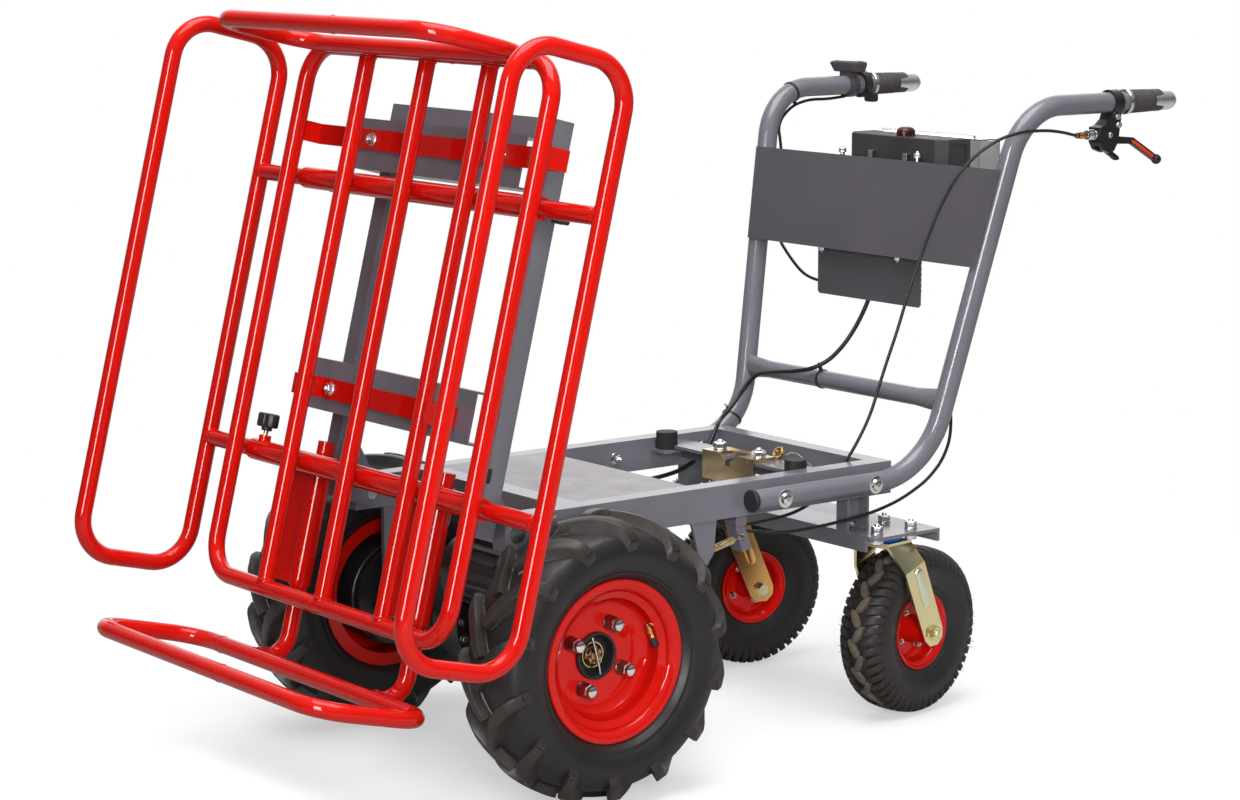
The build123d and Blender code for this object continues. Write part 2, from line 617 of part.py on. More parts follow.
def front_tyre():
    """Tractor tyre about X: hollow carcass with chevron lugs that run down the shoulders."""
    outside = [
        ThreePointArc((-54, 178), (0, 190), (54, 178)), ThreePointArc((54, 178), (66, 152), (54, 124)),
        Polyline((54, 124), (46, 117), (46, 110.3), (38.3, 101.6), (36.5, 101), (39.5, 118)),
        ThreePointArc((39.5, 118), (57, 150), (45, 170)), ThreePointArc((45, 170), (0, 180), (-45, 170)),
        ThreePointArc((-45, 170), (-57, 150), (-39.5, 118)),
        Polyline((-39.5, 118), (-36.5, 101), (-38.3, 101.6), (-46, 110.3), (-46, 117), (-54, 124)),
        ThreePointArc((-54, 124), (-66, 152), (-54, 178)),
    ]
    carcass = revolve(make_face(Wire(Curve() + outside)), Axis.X)
    shoulder = [(37, 203), (54, 195.5), (66, 186), (TYRE_HALF, 170), (65, 158), (60, 158), (50, 174)]
    crown = [
        ThreePointArc((-37, 203), (0, AXLE_Z), (37, 203)), Polyline(*shoulder),
        ThreePointArc((50, 174), (0, 185), (-50, 174)), Polyline(*[(-x, r) for x, r in shoulder]),
    ]
    envelope = revolve(make_face(Wire(Curve() + crown)), Axis.X)
    bar = [(-4, -34), (30, -6), (76, 12), (76, 32), (28, 16), (-4, -10)]
    lug = plate(Plane.XY.offset(140), bar, 80) & envelope
    pitch = 360 / LUG_COUNT
    lugs = []
    for index in range(LUG_COUNT):
        lugs.append(Rot(index * pitch, 0, 0) * lug)
        lugs.append(Rot((index + 0.5) * pitch, 0, 0) * mirrored(lug))
    return Pos(-TYRE_INSET, 0, 0) * fuse(carcass, *lugs)


def front_rim():
    """Dished steel rim about X: flanges, drop well and a bolted disc deep inside."""
    lip = [
        ThreePointArc((17.5, 96.8), (26, 101.5), (29.5, 111)), Line((29.5, 111), (29.5, 114)),
        ThreePointArc((29.5, 114), (29, 115.5), (27.5, 116)),
    ]
    section = Polyline(
        (27.5, 116), (26.7, 116), (26.7, 109.8), (18.6, 100.8), (15, 99.5), (10.5, 90), (-9, 90), (-14, 99),
        (-65.7, 100.8), (-65.7, 116), (-68.5, 116), (-68.5, 97), (-15.5, 95.5), (-12, 88), (-14, 85),
        (-22, 74), (-22, 34), (-19, 34), (-19, 68),
    )
    dish = ThreePointArc((-19, 68), (-14.5, 80), (-4, 87))
    well = Polyline((-4, 87), (12.4, 87), (17.5, 96.8))
    rim = revolve(make_face(Wire(Curve() + lip + [section, dish, well])), Axis.X)
    holes = [stud(angle, -30, 0, 6.2) for angle in stud_angles()]
    return rim - holes


def stud_angles():
    """Angles of the four wheel studs."""
    return [LUG_NUT_START + 90 * step for step in range(4)]


def stud(angle, low, high, radius):
    """Round bar along X on the stud circle."""
    y, z = LUG_NUT_CIRCLE_R * cos(radians(angle)), LUG_NUT_CIRCLE_R * sin(radians(angle))
    return rod((low, y, z), (high, y, z), radius)


def front_hub():
    """Hub with brake drum, wheel studs, nose and half shaft, about X."""
    drum = [(-86, 66), (-86, DRUM_R), (-26, DRUM_R), (-22, 70), (-22, 0), (-34, 0), (-34, 66)]
    cup = revolve(make_face(Polyline(*drum, close=True)), Axis.X)
    nose = [(-22, 0), (-22, 33.5), (-8, 33.5), (-4, 29), (-4, 16), (8, 16), (8, 10), (16, 10), (16, 0)]
    boss = revolve(make_face(Polyline(*nose, close=True)), Axis.X)
    shaft = rod((-WHEEL_X + 60, 0, 0), (-30, 0, 0), SHAFT_R)
    studs = [stud(angle, -24, -4, 6) for angle in stud_angles()]
    return fuse(cup, boss, shaft, *studs)


def lug_nuts():
    """Tall capped wheel nuts on the studs."""
    nuts = []
    for angle in stud_angles():
        nut = stud(angle, -19, 5, 8.5) - stud(angle, -20, -4, 6)
        nut = chamfer(nut.edges().filter_by(GeomType.CIRCLE).sort_by(Axis.X)[-1], 3)
        nuts.append(nut)
    return Compound(nuts)


# Casters, made about the swivel axis with the wheel trailing to +Y

def caster_place(shape, side):
    """Turns a caster piece to its resting swivel angle under one end of the cross arm."""
    placed = Pos(CASTER_X, CASTER_Y, 0) * Rot(0, 0, CASTER_REST_ANGLE) * shape
    return placed if side > 0 else mirrored(placed)


def caster_plates():
    """Top plates bolted up under the cross arm, with a blind bore for the kingpin."""
    top = block((CASTER_X - 42, CASTER_Y - 52, 289), (CASTER_X + 42, CASTER_Y + 52, ARM_TOP - SHEET))
    top = fillet(top.edges().filter_by(Axis.Z), 8)
    bore = rod((CASTER_X, CASTER_Y, 285), (CASTER_X, CASTER_Y, 293), KINGPIN_R + RUN_GAP)
    top = top - bore
    return Compound([top, mirrored(top)])


def swivel_seals():
    """Blue seal rings round the swivel bearings."""
    ring = rod((CASTER_X, CASTER_Y, 281), (CASTER_X, CASTER_Y, 289), 31)
    ring = ring - rod((CASTER_X, CASTER_Y, 280), (CASTER_X, CASTER_Y, 290), 12)
    return Compound([ring, mirrored(ring)])


def caster_fork():
    """Pressed fork: crown, kingpin, flared shoulders, slanted legs with a pressed rib, and the axle bolt."""
    crown = block((-34, -26, 272), (34, 30, 280))
    leg_plane = Plane(origin=(46, 0, 0), x_dir=(0, 1, 0), z_dir=(1, 0, 0))
    outline = [(-4, 232), (41, 247), (89, 134), (88, 120), (77, 110), (58, 110), (46, 121)]
    leg = plate(leg_plane, outline, 5)
    foot = make_face(Polyline((46, -4, 232), (51, -4, 232), (51, 41, 247), (46, 41, 247), close=True))
    top = make_face(Polyline((28, -26, 276), (34, -26, 276), (34, 30, 276), (28, 30, 276), close=True))
    shoulder = loft([foot, top], ruled=True)
    rib_plane = Plane(origin=(51, 36.5, 206.5), x_dir=(0, 0.4, -1), z_dir=(1, 0, 0))
    rib = extrude(rib_plane * SlotOverall(68, 16), 3, taper=20)
    pin = rod((0, 0, 272), (0, 0, 292.5), KINGPIN_R)
    axle = fuse(
        rod((-58, CASTER_TRAIL, CASTER_R), (58, CASTER_TRAIL, CASTER_R), CASTER_AXLE_R),
        rod((51, CASTER_TRAIL, CASTER_R), (58, CASTER_TRAIL, CASTER_R), 10),
        rod((-58, CASTER_TRAIL, CASTER_R), (-51, CASTER_TRAIL, CASTER_R), 10),
    )
    side = fuse(leg, shoulder, rib)
    return fuse(crown, side, mirrored(side), pin, axle)


def caster_tyre():
    """Pneumatic caster tyre about X, with two grooves round it and notched shoulders."""
    section = Polyline(
        (-24, 60), (-26.5, 60), (-26.5, 57.5), (-21, 52), (-18, 52), (-20, 66), (-33, 90), (-30, 114),
        (30, 114), (33, 90), (20, 66), (18, 52), (21, 52), (26.5, 57.5), (26.5, 60), (24, 60)
    )
    side = ThreePointArc((24, 60), (CASTER_HALF, 92), (36, 119))
    crown = Polyline((36, 119), (32, 124), (14, 129.2), (12, 124), (8, 124), (7, CASTER_R), (-7, CASTER_R),
                     (-8, 124), (-12, 124), (-14, 129.2), (-32, 124), (-36, 119))
    other = ThreePointArc((-36, 119), (-CASTER_HALF, 92), (-24, 60))
    tyre = revolve(make_face(Wire(Curve() + [section, side, crown, other])), Axis.X)
    notch_count = 20
    notch = Pos(30, 0, 126) * Rot(0, 14, 18) * Box(28, 6, 14)
    pitch = 360 / notch_count
    notches = []
    for index in range(notch_count):
        notches.append(Rot(index * pitch, 0, 0) * notch)
        notches.append(Rot((index + 0.5) * pitch, 0, 0) * mirrored(notch))
    return tyre - notches


def caster_rim():
    """Two-piece pressed rim about X with its hub tube and bearings on the axle."""
    outside = Polyline(
        (29, 60), (26.7, 60), (26.7, 57.3), (21, 51.7), (-21, 51.7), (-26.7, 57.3), (-26.7, 60), (-29, 60)
    )
    left = [Line((-29, 60), (-29, 58)), ThreePointArc((-29, 58), (-24.5, 50), (-14, 46.5))]
    hub = Polyline(
        (-14, 46.5), (-8, 44.5), (-4, 40), (-4, 22), (-44, 16), (-44, CASTER_AXLE_R + RUN_GAP),
        (44, CASTER_AXLE_R + RUN_GAP), (44, 16), (4, 22), (4, 40), (8, 44.5), (14, 46.5),
    )
    right = [ThreePointArc((14, 46.5), (24.5, 50), (29, 58)), Line((29, 58), (29, 60))]
    return revolve(make_face(Wire(Curve() + [outside] + left + [hub] + right)), Axis.X)


# Tipping bed, made in bed coordinates (x, v, n) and leaned into place at the end

def bed_panel():
    """Red tube panel: one bent loop with three upright bars."""
    low, high = PANEL_V
    centre = Plane(origin=(0, (low + high) / 2, PANEL_N))
    frame = loop_tube(centre, 2 * PANEL_HALF, high - low, 55)
    bars = [rod((x, low, PANEL_N), (x, high, PANEL_N), BAR_R) for x in BAR_X]
    return fuse(frame, *bars)


def rear_wall():
    """Loop of tube that stands across the panel's top end."""
    low, high = REAR_N
    centre = Plane(origin=(0, PANEL_V[1], (low + high) / 2), x_dir=(1, 0, 0), z_dir=(0, 1, 0))
    return loop_tube(centre, 2 * REAR_HALF, high - low, 55)


def bed_sleeves():
    """Welded sleeves: cross tubes for the wings and upright sockets for the front wall."""
    lower, upper = wing_sleeves()
    sockets = wall_sockets()
    wing_bore = rod((-SLEEVE_HALF, 0, 0), (SLEEVE_HALF, 0, 0), SLEEVE_BORE)
    wall_bores = []
    for x in (-SOCKET_X, SOCKET_X):
        wall_bores.append(rod((x, SOCKET_V[0], SOCKET_N), (x, SOCKET_V[1], SOCKET_N), SLEEVE_BORE))
    return Compound([fuse(lower, *sockets) - wing_bore - wall_bores, upper])


def wing_sleeves():
    """Cross tubes in which the wings slide, with a threaded boss for each clamp knob."""
    sleeves = []
    for v, knob_x, toward in zip(SLEEVE_V, (LOWER_KNOB_X, UPPER_KNOB_X), ((0, 1, 0), (0, 0, -1))):
        tube = rod((-SLEEVE_HALF, v, 0), (SLEEVE_HALF, v, 0), SLEEVE_R)
        bore = rod((-SLEEVE_HALF - 1, v, 0), (SLEEVE_HALF + 1, v, 0), SLEEVE_BORE)
        bosses = []
        for x in (-knob_x, knob_x):
            bosses.append(rod((x, v, 0), knob_point(x, v, toward, 23), 9))
        holes = []
        for x in (-knob_x, knob_x):
            holes.append(rod((x, v, 0), knob_point(x, v, toward, 25), SCREW_R + RUN_GAP))
        sleeves.append(fuse(tube, *bosses) - bore - holes)
    return sleeves


def knob_point(x, v, toward, reach):
    """Point on a clamp screw's axis, a distance out from the sleeve's centre."""
    return x, v + toward[1] * reach, toward[2] * reach


def wall_sockets():
    """Upright sockets for the front wall's legs, each with a gusset plate."""
    low, high = SOCKET_V
    pieces = []
    for x in (-SOCKET_X, SOCKET_X):
        tube = rod((x, low, SOCKET_N), (x, high, SOCKET_N), SLEEVE_R)
        gusset = block((x - 85, low + 2, -24), (x - 4, -15.5, -19))
        bore = rod((x, low - 1, SOCKET_N), (x, high + 1, SOCKET_N), SLEEVE_BORE)
        pieces.append(fuse(tube, gusset) - bore)
    return pieces


def mounting_strips():
    """Flat bars behind the panel that bolt it to the tilt frame, with turned-in ends."""
    low, high = STRIP_N
    upper = block((-309, 464, low), (309, 494, high))
    ears = [block((x, 464, high), (x + 5, 494, 16)) for x in (-309, 304)]
    lower = block((-170.5, 96, low), (170.5, 126, high))
    cheeks = [block((x, 96, high), (x + 5, 126, 36)) for x in (-170.5, 165.5)]
    return Compound([fuse(upper, *ears), fuse(lower, *cheeks)])


def tilt_frame():
    """Grey box-tube frame behind the rack, with two cross channels and the hinge lugs."""
    x_in, x_out = UPRIGHT_X
    n_back, n_front = UPRIGHT_N
    v_low, v_high = UPRIGHT_V
    upright = block((x_in, v_low, n_back), (x_out, v_high, n_front))
    hinge_v, hinge_n = to_bed(HINGE_Y, HINGE_Z)
    lug_plane = Plane(origin=(165, 0, 0), x_dir=(0, 1, 0), z_dir=(1, 0, 0))
    lug_outline = make_hull([
        *(Pos(hinge_v, hinge_n) * Circle(18)).edges(), *(Pos(-2, -79) * Rectangle(84, 28)).edges()
    ])
    lug = extrude(lug_plane * lug_outline, 9)
    eye = rod((164, hinge_v, hinge_n), (175, hinge_v, hinge_n), HINGE_R + RUN_GAP)
    side = fuse(upright, lug) - eye
    bar = block((-x_in, v_high - 30, n_back), (x_in, v_high, n_front))
    channels = [cross_channel(435, 510), cross_channel(78, 152.5)]
    return fuse(side, mirrored(side), bar, *channels)


def to_bed(y, z):
    """Bed coordinates (v, n) of a point given across the machine."""
    dy, dz = y - BED_Y, z - BED_Z
    return dy * LEAN_SIN + dz * LEAN_COS, -dy * LEAN_COS + dz * LEAN_SIN


def cross_channel(low, high):
    """Channel across the uprights, open to the back."""
    front = STRIP_N[0]
    body = block((-205, low, UPRIGHT_N[1]), (205, high, front))
    hollow = block((-206, low + 3, UPRIGHT_N[1]), (206, high - 3, front - 3))
    return body - hollow


def latch_striker():
    """Bar between two ears under the tilt frame's top rail, which the claw catches."""
    low, high = UPRIGHT_V[1] - 30, UPRIGHT_V[1]
    ears = []
    for v in (low, high - 3):
        ears.append(block((-9, v, STRIKER_N - 8), (9, v + 3, UPRIGHT_N[0])))
    return fuse(rod((0, low, STRIKER_N), (0, high, STRIKER_N), 5), *ears)


def wing():
    """Left side wing: a loop of tube on two slides that run in the sleeves."""
    low, high = WING_V
    centre = Plane(origin=(WING_X, (low + high) / 2, WING_DEPTH / 2), x_dir=(0, 1, 0), z_dir=(1, 0, 0))
    frame = loop_tube(centre, high - low, WING_DEPTH, 60)
    slides = [rod((170, v, 0), (WING_X, v, 0), TUBE_R) for v in SLEEVE_V]
    return fuse(frame, *slides)


def front_wall():
    """Loop of tube at the rack's foot, on two bent legs that slide in the sockets."""
    low, high = WALL_N
    centre = Plane(origin=(0, WALL_V, (low + high) / 2), x_dir=(1, 0, 0), z_dir=(0, 1, 0))
    frame = loop_tube(centre, 2 * WALL_HALF, high - low, 55)
    legs = []
    for x in (-SOCKET_X, SOCKET_X):
        corners = [(x, LEG_TOP_V, SOCKET_N), (x, WALL_V, SOCKET_N), (x, WALL_V, low)]
        legs.append(bent_tube(corners, [38], TUBE_R))
    return frame + legs


def clamp_knob(x, v, toward):
    """Star knob with its clamp screw."""
    seat, top = knob_point(x, v, toward, 34), knob_point(x, v, toward, 56)
    head = rod(seat, top, KNOB_R)
    scallops = []
    for index in range(6):
        angle = radians(60 * index)
        across = (19 * cos(angle), 19 * sin(angle))
        offset = (across[0], 0, across[1]) if toward[1] else (across[0], across[1], 0)
        foot = [a + b for a, b in zip(seat, offset)]
        tip = [a + b for a, b in zip(top, offset)]
        scallops.append(rod(foot, tip, 6))
    neck = rod(knob_point(x, v, toward, 27), seat, 8)
    screw = rod(knob_point(x, v, toward, SCREW_TIP), knob_point(x, v, toward, 30), SCREW_R)
    return fuse(head - scallops, neck, screw)


# Assembly

for make in (chassis_frame, deck_sheet, caster_crossarm, rubber_buffers, hinge_pins, latch_plate, latch_claw,
             brake_arm, brake_spring, handle_brace, panel_plate, controller_box, battery_box, battery_pack,
             clear_cover, power_knob, grips, grip_caps, brake_perch, brake_lever, lock_lever, display_unit,
             throttle_lever, transaxle_housing, drive_motor, caster_plates, swivel_seals):
    parts[make.__name__] = make()

parts["handle_left"], parts["handle_right"] = on_sides(handle_left)
parts["brake_cable"] = lead("brake cable", BRAKE_ROUTE, 2.5)
parts["motor_lead"] = lead("motor lead", MOTOR_ROUTE, 3.5)
parts["sensor_lead"] = lead("sensor lead", SENSOR_ROUTE, 2.5)
parts["throttle_lead"] = lead("throttle lead", THROTTLE_ROUTE, 2.5)

for make in (front_tyre, front_rim, front_hub, lug_nuts):
    piece = make()
    parts[make.__name__ + "_left"] = wheel_place(piece, 1)
    parts[make.__name__ + "_right"] = wheel_place(piece, -1)

parts["caster_fork_left"] = caster_place(caster_fork(), 1)
parts["caster_fork_right"] = caster_place(caster_fork(), -1)
for make in (caster_tyre, caster_rim):
    piece = Pos(0, CASTER_TRAIL, CASTER_R) * make()
    parts[make.__name__ + "_left"] = caster_place(piece, 1)
    parts[make.__name__ + "_right"] = caster_place(piece, -1)

for make in (bed_panel, rear_wall, bed_sleeves, mounting_strips, tilt_frame, latch_striker,
             front_wall):
    parts[make.__name__] = BED * make()
parts["wing_left"] = BED * wing()
parts["wing_right"] = mirrored(parts["wing_left"])
parts["knob_lower_left"] = BED * clamp_knob(LOWER_KNOB_X, SLEEVE_V[0], (0, 1, 0))
parts["knob_upper_left"] = BED * clamp_knob(UPPER_KNOB_X, SLEEVE_V[1], (0, 0, -1))
parts["knob_lower_right"] = mirrored(parts["knob_lower_left"])
parts["knob_upper_right"] = mirrored(parts["knob_upper_left"])

os.makedirs("parts", exist_ok=True)
for name, shape in parts.items():
    export_step(Pos(0, FRAME_SHIFT, 0) * shape, f"parts/{name}.step")
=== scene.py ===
"""Looks of the electric wheelbarrow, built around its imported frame."""
from cmath import exp, phase
from math import cos, pi, radians, sin

import bmesh
import bpy
from mathutils import Matrix, Vector


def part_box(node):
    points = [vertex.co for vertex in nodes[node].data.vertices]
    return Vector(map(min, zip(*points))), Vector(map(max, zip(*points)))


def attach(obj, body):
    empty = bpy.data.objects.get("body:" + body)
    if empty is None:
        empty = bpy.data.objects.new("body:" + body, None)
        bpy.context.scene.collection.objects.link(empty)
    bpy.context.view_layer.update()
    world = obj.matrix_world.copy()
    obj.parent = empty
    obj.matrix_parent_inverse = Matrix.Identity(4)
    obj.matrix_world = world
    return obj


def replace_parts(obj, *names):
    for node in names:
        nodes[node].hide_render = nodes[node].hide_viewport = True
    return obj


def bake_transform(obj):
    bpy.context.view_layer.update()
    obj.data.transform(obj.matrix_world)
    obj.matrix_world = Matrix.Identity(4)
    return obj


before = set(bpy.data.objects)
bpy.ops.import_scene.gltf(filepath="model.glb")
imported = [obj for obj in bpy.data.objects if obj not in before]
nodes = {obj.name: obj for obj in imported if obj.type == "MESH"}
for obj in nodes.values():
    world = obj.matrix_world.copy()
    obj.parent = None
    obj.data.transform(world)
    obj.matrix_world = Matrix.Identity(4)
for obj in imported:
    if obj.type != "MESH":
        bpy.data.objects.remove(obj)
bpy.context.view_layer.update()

# Chassis and deck: welded box tube and folded sheet in satin grey powder coat, with the deck sheet let in
# flush between the rails. The rails' tops and edges are a little rubbed from use.

RAIL_BACK_Y = 610.0
SHIFT_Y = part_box("chassis_frame")[1].y - RAIL_BACK_Y / 1000


def spot(x, y, z):
    """Point in the frame from the machine's drawing, in millimetres from the floor near the front axle."""
    return Vector((x / 1000, y / 1000 + SHIFT_Y, z / 1000))


def add_node(tree, kind, inputs=None, **settings):
    """Shader node with its settings made and its inputs set or linked."""
    node = tree.nodes.new("ShaderNode" + kind)
    for key, value in settings.items():
        setattr(node, key, value)
    for key, value in (inputs or {}).items():
        if isinstance(value, bpy.types.NodeSocket):
            tree.links.new(value, node.inputs[key])
        else:
            node.inputs[key].default_value = value
    return node


def surface_group(name, colours, values):
    """Empty shader group with named inputs, which puts out a colour, a roughness and a normal."""
    tree = bpy.data.node_groups.new(name, "ShaderNodeTree")
    sockets = [("INPUT", c, "Color") for c in colours] + [("INPUT", v, "Float") for v in values]
    outputs = (("Color", "Color"), ("Roughness", "Float"), ("Normal", "Vector"))
    sockets += [("OUTPUT", *output) for output in outputs]
    for way, label, kind in sockets:
        tree.interface.new_socket(label, in_out=way, socket_type="NodeSocket" + kind)
    return tree, tree.nodes.new("NodeGroupInput").outputs, tree.nodes.new("NodeGroupOutput").inputs


def noise(tree, scale, detail, rough=0.55):
    """Noise value over the surface."""
    coords = add_node(tree, "TexCoord").outputs["Object"]
    inputs = {"Vector": coords, "Scale": scale, "Detail": detail, "Roughness": rough}
    return add_node(tree, "TexNoise", inputs).outputs["Fac"]


def remap(tree, value, low, high, to_low, to_high):
    """Value carried from one range to another and held at the ends."""
    inputs = {"Value": value, "From Min": low, "From Max": high, "To Min": to_low, "To Max": to_high}
    return add_node(tree, "MapRange", inputs).outputs["Result"]


def mottle(tree, scale, detail, given, wanted, rough=0.55):
    """Noise over the surface, carried from a given range to a wanted one."""
    return remap(tree, noise(tree, scale, detail, rough), *given, *wanted)


def maths(tree, operation, first, second):
    """Two values joined by one operation."""
    return add_node(tree, "Math", {0: first, 1: second}, operation=operation).outputs[0]


def times(tree, value, *factors):
    """Product of several values."""
    for factor in factors:
        value = maths(tree, "MULTIPLY", value, factor)
    return value


def alike(tree, first, second):
    """Dot product of two directions."""
    return add_node(tree, "VectorMath", {0: first, 1: second}, operation="DOT_PRODUCT").outputs["Value"]


def mix_colour(tree, share, first, second, blend="MIX"):
    """Two colours mixed by a share."""
    inputs = {0: share, 6: first, 7: second}
    return add_node(tree, "Mix", inputs, data_type="RGBA", blend_type=blend).outputs[2]


def shaded(tree, colour, factor):
    """Colour made lighter or darker by a factor."""
    grey = add_node(tree, "CombineColor", {0: factor, 1: factor, 2: factor}).outputs[0]
    return mix_colour(tree, 1.0, colour, grey, "MULTIPLY")


def upward(tree, low, least):
    """How far a surface faces up, from a least value to one."""
    normal = add_node(tree, "NewGeometry").outputs["Normal"]
    return remap(tree, add_node(tree, "SeparateXYZ", {0: normal}).outputs["Z"], low, 0.95, least, 1.0)


def under_dust(tree, roughness, dust):
    """Roughness with dust lying on it."""
    return maths(tree, "ADD", roughness, maths(tree, "MULTIPLY", dust, 0.3))


def put_out(tree, out, colour, roughness, grain, height, depth):
    """Links a surface group's outputs, with the normal from a fine grain."""
    inputs = {"Strength": height, "Distance": depth, "Height": noise(tree, grain, 2.0)}
    bump = add_node(tree, "Bump", inputs).outputs[0]
    for label, value in (("Color", colour), ("Roughness", roughness), ("Normal", bump)):
        tree.links.new(value, out[label])
    return tree


def paint_film_group():
    """Powder coat: broad tone, orange peel, smudges, dust on what faces up, and rubbed edges."""
    tree, given, out = surface_group(
        "paint_film", ("Color", "Rubbed"),
        ("Tone", "Peel Scale", "Peel Height", "Low Roughness", "High Roughness", "Dust"))
    tones = [maths(tree, way, 1.0, given["Tone"]) for way in ("SUBTRACT", "ADD")]
    toned = shaded(tree, given["Color"], mottle(tree, 7.0, 4.0, (0.3, 0.7), tones))
    rounded = add_node(tree, "Bevel", {"Radius": 0.0018}, samples=4).outputs[0]
    corner = alike(tree, rounded, add_node(tree, "NewGeometry").outputs["Normal"])
    patchy = mottle(tree, 55.0, 5.0, (0.48, 0.66), (0.0, 0.75))
    worn = times(tree, remap(tree, corner, 0.97, 0.8, 0.0, 1.0), patchy)
    rubbed = mix_colour(tree, worn, toned, given["Rubbed"])
    speckle = mottle(tree, 160.0, 6.0, (0.42, 0.7), (0.15, 1.0), 0.7)
    dust = times(tree, upward(tree, 0.35, 0.0), speckle, given["Dust"])
    colour = mix_colour(tree, dust, rubbed, (0.42, 0.40, 0.37, 1))
    smudge = mottle(tree, 22.0, 6.0, (0.3, 0.75), (given["Low Roughness"], given["High Roughness"]), 0.65)
    rough = under_dust(tree, smudge, dust)
    return put_out(tree, out, colour, rough, given["Peel Scale"], given["Peel Height"], 0.0006)


PAINT_FILM = paint_film_group()


def blank_material(name):
    """New material with its node tree and its Principled shader."""
    material = bpy.data.materials.new(name)
    material.use_nodes = True
    return material, material.node_tree, material.node_tree.nodes["Principled BSDF"]


def surfaced(name, group, values, label, value):
    """Material fed by a shared surface group, with one plain value on the shader's own socket."""
    material, tree, shader = blank_material(name)
    film = add_node(tree, "Group", values, node_tree=group)
    for key, target in (("Color", "Base Color"), ("Roughness", "Roughness"), ("Normal", "Normal")):
        tree.links.new(film.outputs[key], shader.inputs[target])
    shader.inputs[label].default_value = value
    return material


def paint(name, colour, rubbed, gloss, shine=0.4, tone=0.1, peel=(700.0, 0.05), dust=0.1):
    """Painted metal: colour, colour under rubbed edges, roughness range and strength of the reflections."""
    return surfaced(name, PAINT_FILM, {
        "Color": (*colour, 1), "Rubbed": (*rubbed, 1), "Tone": tone, "Peel Scale": peel[0],
        "Peel Height": peel[1], "Low Roughness": gloss[0], "High Roughness": gloss[1], "Dust": dust,
    }, "Specular IOR Level", shine)


def dress(material, *names):
    """Gives CAD nodes a material."""
    for name in names:
        mesh = nodes[name].data
        mesh.materials.clear()
        mesh.materials.append(material)


GREY_PAINT = paint("satin_grey_paint", (0.142, 0.139, 0.164), (0.30, 0.30, 0.31), (0.16, 0.25), shine=0.5,
                   tone=0.08, dust=0.10)
# Deck grey, lighter and pinker than the rails' paint: painted light, which stands in for the brighter light
# and sheen on the deck's top face.
DECK_LIT_PAINT = paint("deck_grey_painted_light", (0.175, 0.160, 0.172), (0.40, 0.40, 0.40), (0.30, 0.44), shine=0.5,
                   tone=0.08, dust=0.2)
dress(GREY_PAINT, "chassis_frame", "caster_crossarm", "brake_arm", "handle_left", "handle_right",
      "handle_brace", "tilt_frame")
dress(DECK_LIT_PAINT, "deck_sheet")

# Fasteners of the chassis: domed zinc bolts with wide washers hold the handle tubes against the rails, with
# their nuts inside the rails, and hexagon bolts hold the casters' plates. Black plugs close the tubes' ends.


def zinc_film_group():
    """Plated steel: cloudy plating, a second tint in drifts and fine brushing."""
    tree, given, out = surface_group(
        "zinc_film", ("Color", "Tint"), ("Cloud Scale", "Low Roughness", "High Roughness"))
    cloud = mottle(tree, given["Cloud Scale"], 2.0, (0.38, 0.66), (0.0, 1.0))
    fleck = mottle(tree, 180.0, 2.0, (0.3, 0.75), (0.97, 1.02))
    colour = shaded(tree, mix_colour(tree, cloud, given["Color"], given["Tint"]), fleck)
    smear = mottle(tree, 30.0, 3.0, (0.3, 0.7), (given["Low Roughness"], given["High Roughness"]))
    return put_out(tree, out, colour, smear, 500.0, 0.012, 0.0003)


ZINC_FILM = zinc_film_group()


def plated(name, colour, tint, cloud, gloss):
    """Plated or bare metal."""
    return surfaced(name, ZINC_FILM, {
        "Color": (*colour, 1), "Tint": (*tint, 1), "Cloud Scale": cloud,
        "Low Roughness": gloss[0], "High Roughness": gloss[1],
    }, "Metallic", 1.0)


BRIGHT_ZINC = plated("bright_zinc", (0.80, 0.80, 0.79), (0.66, 0.67, 0.70), 45.0, (0.16, 0.32))


def plastic_film_group():
    """Moulded plastic and rubber: fine grain, faint flow marks, dust on what faces up."""
    tree, given, out = surface_group(
        "plastic_film", ("Color", "Dust Color"),
        ("Grain Scale", "Grain Height", "Low Roughness", "High Roughness", "Dust", "Dust Reach"))
    toned = shaded(tree, given["Color"], mottle(tree, 14.0, 4.0, (0.3, 0.7), (0.85, 1.2)))
    speck = mottle(tree, 210.0, 6.0, (0.45, 0.75), (0.0, 1.0), 0.75)
    drift = mottle(tree, 26.0, 4.0, (0.35, 0.65), (0.35, 1.0))
    dust = times(tree, speck, drift, upward(tree, 0.2, given["Dust Reach"]), given["Dust"])
    colour = mix_colour(tree, dust, toned, given["Dust Color"])
    sheen = mottle(tree, 35.0, 5.0, (0.3, 0.7), (given["Low Roughness"], given["High Roughness"]))
    rough = under_dust(tree, sheen, dust)
    return put_out(tree, out, colour, rough, given["Grain Scale"], given["Grain Height"], 0.0005)


PLASTIC_FILM = plastic_film_group()


def moulded(name, colour, gloss, grain=(900.0, 0.1), dust=0.1, dusty=(0.30, 0.27, 0.23), reach=0.1,
            shine=0.35):
    """Moulded plastic or rubber, with its dust and how far the dust reaches down the sides."""
    return surfaced(name, PLASTIC_FILM, {
        "Color": (*colour, 1), "Grain Scale": grain[0], "Grain Height": grain[1], "Low Roughness": gloss[0],
        "High Roughness": gloss[1], "Dust": dust, "Dust Color": (*dusty, 1), "Dust Reach": reach,
    }, "Specular IOR Level", shine)


BLACK_PLASTIC = moulded("black_plastic", (0.018, 0.017, 0.019), (0.34, 0.5))
SMOOTH_ANGLE = radians(34)
TURN_STEPS = 28


